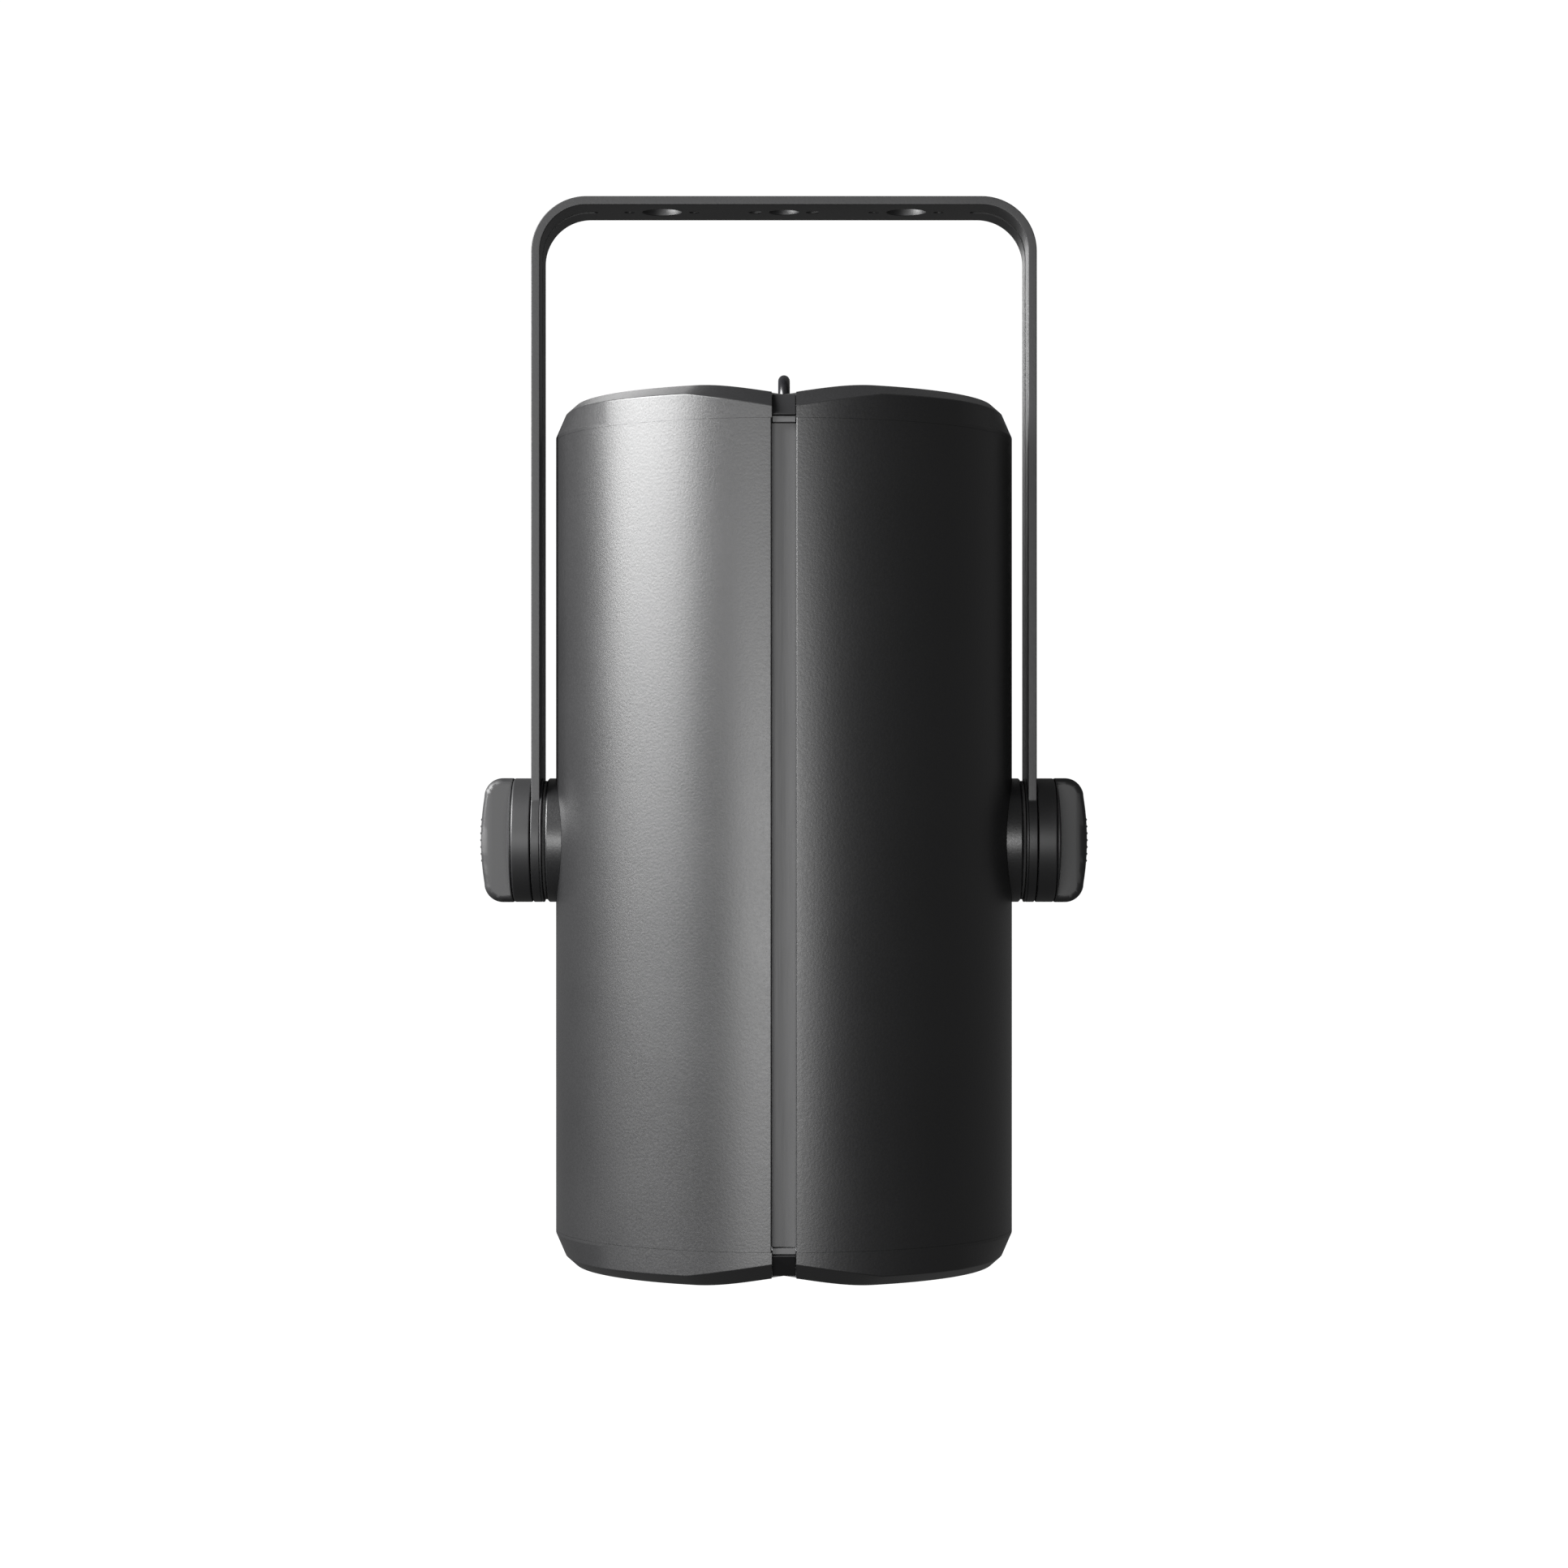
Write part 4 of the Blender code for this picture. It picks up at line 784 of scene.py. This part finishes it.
for side, sign in SIDES.items():
    turn = outwards(side)
    bottom = sqrt(INNER_RADIUS ** 2 - PIVOT_RADIUS ** 2)
    corners = [(STUD_HOLE, BOSS_FACE), (PIVOT_RADIUS - EDGE, BOSS_FACE),
               (PIVOT_RADIUS, BOSS_FACE - EDGE), (PIVOT_RADIUS, bottom), (STUD_HOLE, bottom)]
    sizes = [0.2 * MM, 0.3 * MM, 0.3 * MM, 0.0, 0.0]
    boss = turned(f"pivot_disc_{side}", soften(corners, sizes), 120, turn)
    drum = rod("drum", BODY_RADIUS + DRUM_GAP, -BODY_HALF, BODY_HALF, UPRIGHT, 240)
    drum.matrix_world = HEAD
    boss = cut(boss, drum)
    fit(boss, POWDER, "head", "black_powder_coat", f"pivot_boss_{side}")
    low, high = sorted(abs(corner.x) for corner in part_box(f"friction_pad_{side}"))
    pad = ring(f"grip_pad_{side}", STUD_HOLE, PIVOT_RADIUS - PAD_INSET, low, high, 0.2 * MM,
               turn=turn)
    fit(pad, RUBBER, "head", "black_rubber", f"friction_pad_{side}")
    low, high = sorted(abs(corner.x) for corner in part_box(f"pivot_washer_{side}"))
    washer = ring(f"lug_washer_{side}", STUD_HOLE, PIVOT_RADIUS, low, high + WASHER_OVER,
                  0.2 * MM, turn=turn)
    fit(washer, STRAP, "yoke", "zinc_steel", f"pivot_washer_{side}")

# %% [markdown]
# ## The clamp knobs
# Each knob is a round collar with a bar grip standing on it. Seen from its side the bar is a rounded
# hump, so it is an outline with a thickness and a generous rounding, and the low dome that it stands
# on is turned and joined to it. Seven short ribs on its end give the thumb something to feel.

# %% Collars and grips
collar_low, collar_high = sorted(abs(corner.x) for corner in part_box("knob_collar_right"))
grip_low, grip_high = sorted(abs(corner.x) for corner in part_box("knob_grip_right"))
RIB_PROUD = 0.7 * MM
GRIP_TOP = grip_high - RIB_PROUD
GRIP_HALF = 8.5 * MM
GRIP_EDGE = 3.4 * MM
GRIP_STRAIGHT = 4.6 * MM
GRIP_FLAT = PIVOT_RADIUS - 9.0 * MM
GRIP_DOME = 1.6 * MM
DOME_RISE = 2.1 * MM
DOME_EDGE = 0.4 * MM
BORE = 6.95 * MM


def crown(distance):
    """Height of the grip's slightly domed end."""
    return GRIP_TOP - GRIP_DOME * (distance / GRIP_FLAT) ** 2


def grip_view():
    """The bar from its side: (across, outwards)."""
    shoulder = grip_low + GRIP_STRAIGHT
    foot = grip_low - GRIP_EDGE - MM
    rise = crown(GRIP_FLAT) - shoulder
    curve = [(GRIP_FLAT + (PIVOT_RADIUS - GRIP_FLAT) * cos(t), shoulder + rise * sin(t))
             for t in (radians(6 * step) for step in range(14))]
    end = [(GRIP_FLAT * (1 - step / 8), crown(GRIP_FLAT * (1 - step / 8))) for step in range(9)]
    right = [(PIVOT_RADIUS, foot), *curve, *end]
    return right + [(-x, z) for x, z in reversed(right[:-1])]


def dome_profile():
    radius = PIVOT_RADIUS - DOME_EDGE
    radii = [radius * step / 16 for step in range(16, -1, -1)]
    top = [(r, grip_low + DOME_EDGE + DOME_RISE * (1 - (r / PIVOT_RADIUS) ** 3.4)) for r in radii]
    return [(0.0, grip_low), (radius, grip_low), *top]


# %% Ribs on the grip's end
def rib_tree():
    """Short rounded ribs in a row along X, dropped onto the domed end."""
    tree = bpy.data.node_groups.new("grip_ribs", "GeometryNodeTree")
    for name, kind in (("Count", "Int"), ("Pitch", "Float"), ("Width", "Float"),
                       ("Length", "Float"), ("Top", "Float"), ("Curve", "Float")):
        tree.interface.new_socket(name, in_out="INPUT", socket_type=f"NodeSocket{kind}")
    tree.interface.new_socket("Finish", in_out="INPUT", socket_type="NodeSocketMaterial")
    tree.interface.new_socket("Ribs", in_out="OUTPUT", socket_type="NodeSocketGeometry")
    sheet = Wire(tree)
    inputs = tree.nodes.new("NodeGroupInput")
    give = {socket.name: Wire(tree, socket) for socket in inputs.outputs if socket.name}
    reach = give["Pitch"] * (give["Count"] - 1.0) * 0.5
    start = sheet.node("ShaderNodeCombineXYZ", {}, {"X": -1.0 * reach})
    step = sheet.node("ShaderNodeCombineXYZ", {}, {"X": give["Pitch"]})
    row = sheet.node("GeometryNodeMeshLine", {"mode": "OFFSET"},
                     {"Count": give["Count"], "Start Location": start, "Offset": step})
    across = sheet.node("ShaderNodeSeparateXYZ", {},
                        {"Vector": sheet.node("GeometryNodeInputPosition")})
    height = give["Top"] - give["Curve"] * across * across
    drop = sheet.node("ShaderNodeCombineXYZ", {}, {"Z": height})
    row = sheet.node("GeometryNodeSetPosition", {}, {"Geometry": row, "Offset": drop})
    size = sheet.node("ShaderNodeCombineXYZ", {},
                      {"X": give["Width"], "Y": give["Length"], "Z": give["Width"]})
    rib = sheet.node("GeometryNodeMeshUVSphere", {}, {"Segments": 16, "Rings": 9, "Radius": 0.5})
    rib = sheet.node("GeometryNodeTransform", {}, {"Geometry": rib, "Scale": size})
    ribs = sheet.node("GeometryNodeInstanceOnPoints", {}, {"Points": row, "Instance": rib})
    ribs = sheet.node("GeometryNodeRealizeInstances", {}, {"Geometry": ribs})
    ribs = sheet.node("GeometryNodeSetMaterial", {}, {"Geometry": ribs, "Material": give["Finish"]})
    sheet.node("NodeGroupOutput", {}, {"Ribs": ribs})
    return tree


def grown(name, tree, values, turn=UPRIGHT):
    """Run a node tree with named values and keep its result as a plain mesh."""
    obj = mesh_object(name, bmesh.new())
    step = obj.modifiers.new("grown", "NODES")
    step.node_group = tree
    for item in tree.interface.items_tree:
        if item.in_out == "INPUT" and item.name in values:
            step[item.identifier] = values[item.name]
    obj.matrix_world = turn
    return settle(obj)


RIBS = rib_tree()

for side in SIDES:
    turn = outwards(side)
    body = f"knob_{side}"
    sizes = [0.3 * MM, 1.0 * MM, 0.6 * MM, 0.3 * MM]
    corners = [(BORE, collar_high), (PIVOT_RADIUS, collar_high), (PIVOT_RADIUS, collar_low),
               (BORE, collar_low)]
    collar = turned(f"clamp_collar_{side}", soften(corners, sizes), 120, turn)
    fit(collar, PLASTIC, body, "black_plastic", f"knob_collar_{side}")
    bar = plate(f"clamp_grip_{side}", [grip_view()], -GRIP_HALF, GRIP_HALF, GRIP_EDGE,
                turn @ ALONG_Y)
    bar = cut(bar, rod("saw", 2 * PIVOT_RADIUS, 0.0, grip_low, turn))
    dome = turned("dome", dome_profile(), 120, turn, closed=False)
    fit(cut(bar, dome, operation="UNION"), PLASTIC, body, "black_plastic", f"knob_grip_{side}",
        angle=30.0)
    values = {"Count": 7, "Pitch": 3.2 * MM, "Width": 2.0 * RIB_PROUD, "Length": 8.0 * MM,
              "Top": GRIP_TOP, "Curve": GRIP_DOME / GRIP_FLAT ** 2, "Finish": PLASTIC}
    ribs = grown(f"grip_ribs_{side}", RIBS, values, turn)
    fit(ribs, PLASTIC, body, "black_plastic")

# %% [markdown]
# ## The safety loop
# A safety cable hooks into a loop of round rod, bent to a half circle and standing on a plate. A
# curve with a round bevel is exactly that: its points are the rod's centre line.

# %% Loop and its plate
LOOP_HALF = 13.0 * MM
LOOP_ROD = 2.75 * MM
loop_low, loop_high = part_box("safety_loop")
base_low, base_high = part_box("loop_base")


def bent_rod(name, points, radius):
    curve = bpy.data.curves.new(name, "CURVE")
    curve.dimensions = "3D"
    curve.bevel_depth = radius
    curve.bevel_resolution = 8
    curve.use_fill_caps = True
    spline = curve.splines.new("POLY")
    spline.points.add(len(points) - 1)
    for point, place in zip(spline.points, points):
        point.co = (*place, 1.0)
    obj = bpy.data.objects.new(name, curve)
    bpy.context.scene.collection.objects.link(obj)
    return settle(obj)


top = loop_high.z - LOOP_ROD - LOOP_HALF
bow = arc((0.0, top), LOOP_HALF, 0.0, pi, 36)
line = [(0.0, y, z) for y, z in [(LOOP_HALF, loop_low.z), *bow, (-LOOP_HALF, loop_low.z)]]
fit(bent_rod("cable_loop", line, LOOP_ROD), GLOSS, "head", "black_gloss_rod", "safety_loop")
outline = box_outline(base_low.x, base_high.x, base_low.y, base_high.y, 4.0 * MM, 8)
base = plate("loop_plate", [outline], base_low.z, base_high.z, 0.5 * MM)
fit(base, GLOSS, "head", "black_gloss_rod", "loop_base")

# %% [markdown]
# ## Inlet and vent
# Two moulded fittings stand in the recess on top, out of sight from the front: the round supply
# inlet with its rubber core, and a hexagonal vent that lets the head breathe. The inlet is a turned
# cup. The vent is a hexagon outline with a turned shank below it.

# %% Top fittings
inlet_low, inlet_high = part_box("power_inlet")
flange, barrel, socket = INLET_FLANGE, INLET_BARREL, 8.5 * MM
seat = FLOOR_Z + CLEAR
rise, under = inlet_high.z - HEAD_Z, inlet_low.z - HEAD_Z
corners = [(0.0, seat - 4.3 * MM), (socket, seat - 4.3 * MM), (socket, rise), (barrel, rise),
           (barrel, seat + 3 * MM), (flange, seat + 3 * MM), (flange, seat), (barrel, seat),
           (barrel, under), (0.0, under)]
sizes = [0.0, 0.4 * MM, 0.5 * MM, 0.5 * MM, 0.8 * MM, 1.0 * MM, 0.2 * MM, 0.1 * MM, 0.5 * MM, 0.0]
inlet = turned("supply_inlet", soften(corners, sizes, closed=False), 96, at(0.0, INLET_Y), False)
fit(inlet, PLASTIC, "head", "black_plastic", "power_inlet")
core_low, core_high = (corner.z - HEAD_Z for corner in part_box("inlet_core"))
pins = [arc((4.4 * MM * cos(a), 4.4 * MM * sin(a)), 1.1 * MM, 0.0, 2 * pi, 20)[:-1]
        for a in (radians(120 * step + 90) for step in range(3))]
face = arc((0.0, 0.0), socket - CLEAR, 0.0, 2 * pi, 72)[:-1]
core = plate("inlet_insert", [face, *pins], core_low, core_high, 0.3 * MM, at(0.0, INLET_Y))
fit(core, RUBBER, "head", "black_rubber", "inlet_core")
vent_low, vent_high = (corner.z - HEAD_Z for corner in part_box("pressure_vent"))
hexagon = arc((0.0, 0.0), 8.0 * MM, 0.0, 2 * pi, 6)[:-1]
vent = plate("breather", [soften(hexagon, [0.5 * MM] * 6)], seat, vent_high, 0.4 * MM,
             at(0.0, VENT_Y))
shank = rod("shank", VENT_SHANK, vent_low, seat + MM, at(0.0, VENT_Y))
fit(cut(vent, shank, operation="UNION"), PLASTIC, "head", "black_plastic", "pressure_vent")

# %% [markdown]
# ## Socket screws
# Eight identical screws hold the castings, four on the top floor and four in the bottom rim. A screw
# repeats round a circle, which is what Geometry Nodes are for: one screw is made from cylinders, the
# hexagon socket is cut from it once, and copies are placed on the points of a circle.

# %% Screw tree
def screw_tree():
    tree = bpy.data.node_groups.new("screw_circle", "GeometryNodeTree")
    for name in ("Circle", "Seat", "Head radius", "Head height", "Socket radius", "Socket depth",
                 "Shank radius", "Shank length", "Up"):
        tree.interface.new_socket(name, in_out="INPUT", socket_type="NodeSocketFloat")
    tree.interface.new_socket("Finish", in_out="INPUT", socket_type="NodeSocketMaterial")
    tree.interface.new_socket("Screws", in_out="OUTPUT", socket_type="NodeSocketGeometry")
    sheet = Wire(tree)
    inputs = tree.nodes.new("NodeGroupInput")
    give = {socket.name: Wire(tree, socket) for socket in inputs.outputs if socket.name}

    def cylinder(radius, depth, middle, sides):
        body = sheet.node("GeometryNodeMeshCylinder", {},
                          {"Vertices": sides, "Radius": radius, "Depth": depth})
        place = sheet.node("ShaderNodeCombineXYZ", {}, {"Z": middle * give["Up"]})
        return sheet.node("GeometryNodeTransform", {}, {"Geometry": body, "Translation": place})

    head = cylinder(give["Head radius"], give["Head height"], give["Head height"] * 0.5, 40)
    shank = cylinder(give["Shank radius"], give["Shank length"], give["Shank length"] * -0.5, 24)
    socket_depth = give["Socket depth"] * 2.0
    socket = cylinder(give["Socket radius"], socket_depth, give["Head height"], 6)
    screw = sheet.node("GeometryNodeMeshBoolean", {"operation": "DIFFERENCE"},
                       {"Mesh 1": head, "Mesh 2": socket})
    join = tree.nodes.new("GeometryNodeJoinGeometry")
    tree.links.new(screw.socket, join.inputs[0])
    tree.links.new(shank.socket, join.inputs[0])
    circle = sheet.node("GeometryNodeMeshCircle", {}, {"Vertices": 4, "Radius": give["Circle"]})
    place = sheet.node("ShaderNodeCombineXYZ", {}, {"Z": give["Seat"]})
    circle = sheet.node("GeometryNodeTransform", {}, {"Geometry": circle, "Translation": place,
                                                      "Rotation": (0.0, 0.0, pi / 4)})
    screws = sheet.node("GeometryNodeInstanceOnPoints", {},
                        {"Points": circle, "Instance": Wire(tree, join.outputs[0])})
    screws = sheet.node("GeometryNodeRealizeInstances", {}, {"Geometry": screws})
    screws = sheet.node("GeometryNodeSetMaterial", {},
                        {"Geometry": screws, "Material": give["Finish"]})
    sheet.node("NodeGroupOutput", {}, {"Screws": screws})
    return tree


# %% Place the screws
SCREWS = screw_tree()
screw_sizes = {"Head radius": SCREW_HEAD, "Head height": SCREW_RISE, "Socket radius": 1.9 * MM,
               "Socket depth": 2.2 * MM, "Shank radius": 2.0 * MM, "Finish": ZINC}
top_length = seat - (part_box("cap_screw_1")[0].z - HEAD_Z)
top_values = {**screw_sizes, "Circle": RIM_INNER - 12.0 * MM, "Seat": seat, "Up": 1.0,
              "Shank length": top_length}
screws = grown("cap_screws", SCREWS, top_values, HEAD)
fit(screws, ZINC, "head", "zinc_steel", *(f"cap_screw_{number}" for number in range(1, 5)))
low_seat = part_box("bezel_screw_1")[0].z - HEAD_Z + SCREW_RISE
low_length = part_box("bezel_screw_1")[1].z - HEAD_Z - low_seat
low_values = {**screw_sizes, "Circle": BEZEL_CIRCLE, "Seat": low_seat, "Up": -1.0,
              "Shank length": low_length}
screws = grown("bezel_screws", SCREWS, low_values, HEAD)
fit(screws, ZINC, "head", "zinc_steel", *(f"bezel_screw_{number}" for number in range(1, 5)))

# %% [markdown]
# ## The light mouth
# Looking up into the lamp one sees a clear glass, the bright bowl of the reflector behind it and the
# yellow light source at its throat. The bowl is a paraboloid: its radius grows with the square root
# of the height, which sends the light of a source at the throat out in a narrow beam.

# %% Glass and reflector
glass_low, glass_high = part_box("front_glass")
edge = glass_high.x
bevelled = soften([(0.0, glass_high.z), (edge, glass_high.z), (edge, glass_low.z),
                   (0.0, glass_low.z)], [0.0, 0.6 * MM, 0.6 * MM, 0.0], closed=False)
fit(turned("cover_glass", bevelled, 160, closed=False), GLASS, "head", "clear_glass",
    "front_glass")
bowl_low, bowl_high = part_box("reflector")
mouth_r, throat_r, sheet = edge - 6.5 * MM, 15.0 * MM, 1.2 * MM
inner, outer = [], []
for step in range(41):
    share = step / 40
    height = bowl_high.z + (bowl_low.z - bowl_high.z) * share
    radius = sqrt(throat_r ** 2 + (mouth_r ** 2 - throat_r ** 2) * share)
    inner.append((radius, height))
    outer.append((radius + sheet, height))
outer[-1] = (mouth_r + sheet, bowl_low.z + sheet)
profile = [*outer, (edge, bowl_low.z + sheet), (edge, bowl_low.z), *reversed(inner)]
bowl = turned("reflector_bowl", profile, 160)
fit(bowl, MIRROR, "head", "bright_reflector", "reflector")

# %% [markdown]
# ## What stays as the frame has it
# The inner pieces are already the right shape: the bulkhead, the heat sink, the driver on its tray,
# the rings, the rods and the studs. They keep their frame meshes and only get their finishes.

# %% Finishes for the inner pieces
carried = [
    (ZINC, ["top_ring", "bottom_ring", "glass_clamp", "driver_tray",
            *(f"tie_rod_{number}" for number in range(1, 5)),
            *(f"clamp_stud_{side}" for side in SIDES)]),
    (ALUMINIUM, ["bulkhead", "driver", *(f"pivot_anchor_{side}" for side in SIDES)]),
    (MILLED, ["heat_sink"]),
    (BRASS, [f"knob_insert_{side}" for side in SIDES]),
    (RUBBER, ["top_gasket", "glass_gasket", "led_lead"]),
    (BOARD, ["control_board", "led_board"]),
    (PLASTIC, ["terminal_block"]),
    (PHOSPHOR, ["led_emitter"]),
]
for finish, nodes in carried:
    for name in nodes:
        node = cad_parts[name]
        node.data.materials.clear()
        node.data.materials.append(finish)
print("carried over:", sum(len(nodes) for finish, nodes in carried))

# %% [markdown]
# ## The studio
# The lamp hangs high over a pale floor in front of a white backdrop. A wide soft light from the left
# draws the long highlight down the cylinder, and a weaker one beside the camera keeps the middle from
# going black. Two lights far behind reach one piece each: the low one catches the strap's inside and
# the high one the chamfer of the top casting. The camera sees the white of the world, while the lamp
# itself is lit by a dimmer one, as under black flags in a studio. The floor glows and lights nothing,
# so that its edge doesn't show and it sends no light up under the lamp.

# %% Camera
camera = bpy.data.objects.new("camera", bpy.data.cameras.new("camera"))
bpy.context.scene.collection.objects.link(camera)
camera.data.lens = 83.85
camera.data.sensor_width = 36.0
camera.data.shift_y = 0.0326
camera.location = (0.0, -1.7114, HEAD_Z)
camera.rotation_euler = (pi / 2, 0.0, 0.0)
bpy.context.scene.camera = camera


# %% Floor and lights
def soft_light(name, place, target, width, height, power):
    data = bpy.data.lights.new(name, "AREA")
    data.shape = "RECTANGLE"
    data.size = width
    data.size_y = height
    data.energy = power
    light = bpy.data.objects.new(name, data)
    light.location = place
    light.rotation_euler = (Vector(place) - Vector(target)).to_track_quat("Z", "Y").to_euler()
    light.visible_camera = False
    bpy.context.scene.collection.objects.link(light)
    return light


middle = (0.0, 0.0, HEAD_Z)
soft_light("key", (-2.12, -0.75, HEAD_Z + 1.25), middle, 2.3, 2.0, 485.0)
soft_light("fill", (-0.25, -2.1, HEAD_Z - 0.05), middle, 1.3, 0.5, 35.0)
back = soft_light("back", (-0.55, 3.0, 0.65), (0.11, 0.0, -0.1), 0.6, 0.8, 9.0)
above = soft_light("above", (-0.8, 3.0, 1.9), (0.0, 0.0, -0.1), 1.1, 1.1, 14.0)
for light, piece in ((back, "yoke_strap"), (above, "end_casting_top")):
    lit = bpy.data.collections.new(f"lit_from_{light.name}")
    lit.objects.link(bpy.data.objects[piece])
    light.light_linking.receiver_collection = lit

FLOOR_DROP = 2.4
FLOOR_HALF = 30.0
bm = bmesh.new()
bmesh.ops.create_grid(bm, x_segments=1, y_segments=1, size=FLOOR_HALF)
floor = mesh_object("floor", bm)
floor.location.z = -FLOOR_DROP
floor.visible_diffuse = False
floor.visible_glossy = False
pale = new_finish("pale_floor", base_color=(0.9, 0.9, 0.9, 1.0), roughness=0.9,
                  emission_strength=1.0, emission_color=(1.0, 1.0, 1.0, 1.0))[0]
floor.data.materials.append(pale)
floor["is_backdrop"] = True

world = bpy.data.worlds.new("studio")
bpy.context.scene.world = world
world.use_nodes = True
world.node_tree.nodes.clear()
sky = Wire(world.node_tree)
seen = sky.node("ShaderNodeLightPath", output="Is Camera Ray")
white = sky.node("ShaderNodeBackground", {}, {"Color": (1.0, 1.0, 1.0, 1.0), "Strength": 1.05})
dim = sky.node("ShaderNodeBackground", {}, {"Color": (1.0, 1.0, 1.0, 1.0), "Strength": 0.15})
both = sky.node("ShaderNodeMixShader", {}, {0: seen, 1: dim, 2: white})
sky.node("ShaderNodeOutputWorld", {}, {"Surface": both})
bpy.context.scene.view_settings.view_transform = "Standard"

# %% [markdown]
# ## Size and triangle count
# The finished model should fill the frame's own box, so both boxes are put side by side in a table,
# and the model's size is printed. Its round wall is smoother than the frame's flat facets and
# stands a seventh of a millimetre past them.

# %% Sizes
shown_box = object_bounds()
sizes = {"cad": [list(corner) for corner in cad_box],
         "visual": [list(corner) for corner in shown_box]}
print("model in mm:", [round(1000 * (high - low), 1) for low, high in zip(*shown_box)])
print("triangles in new pieces:", sum(triangles.values()))
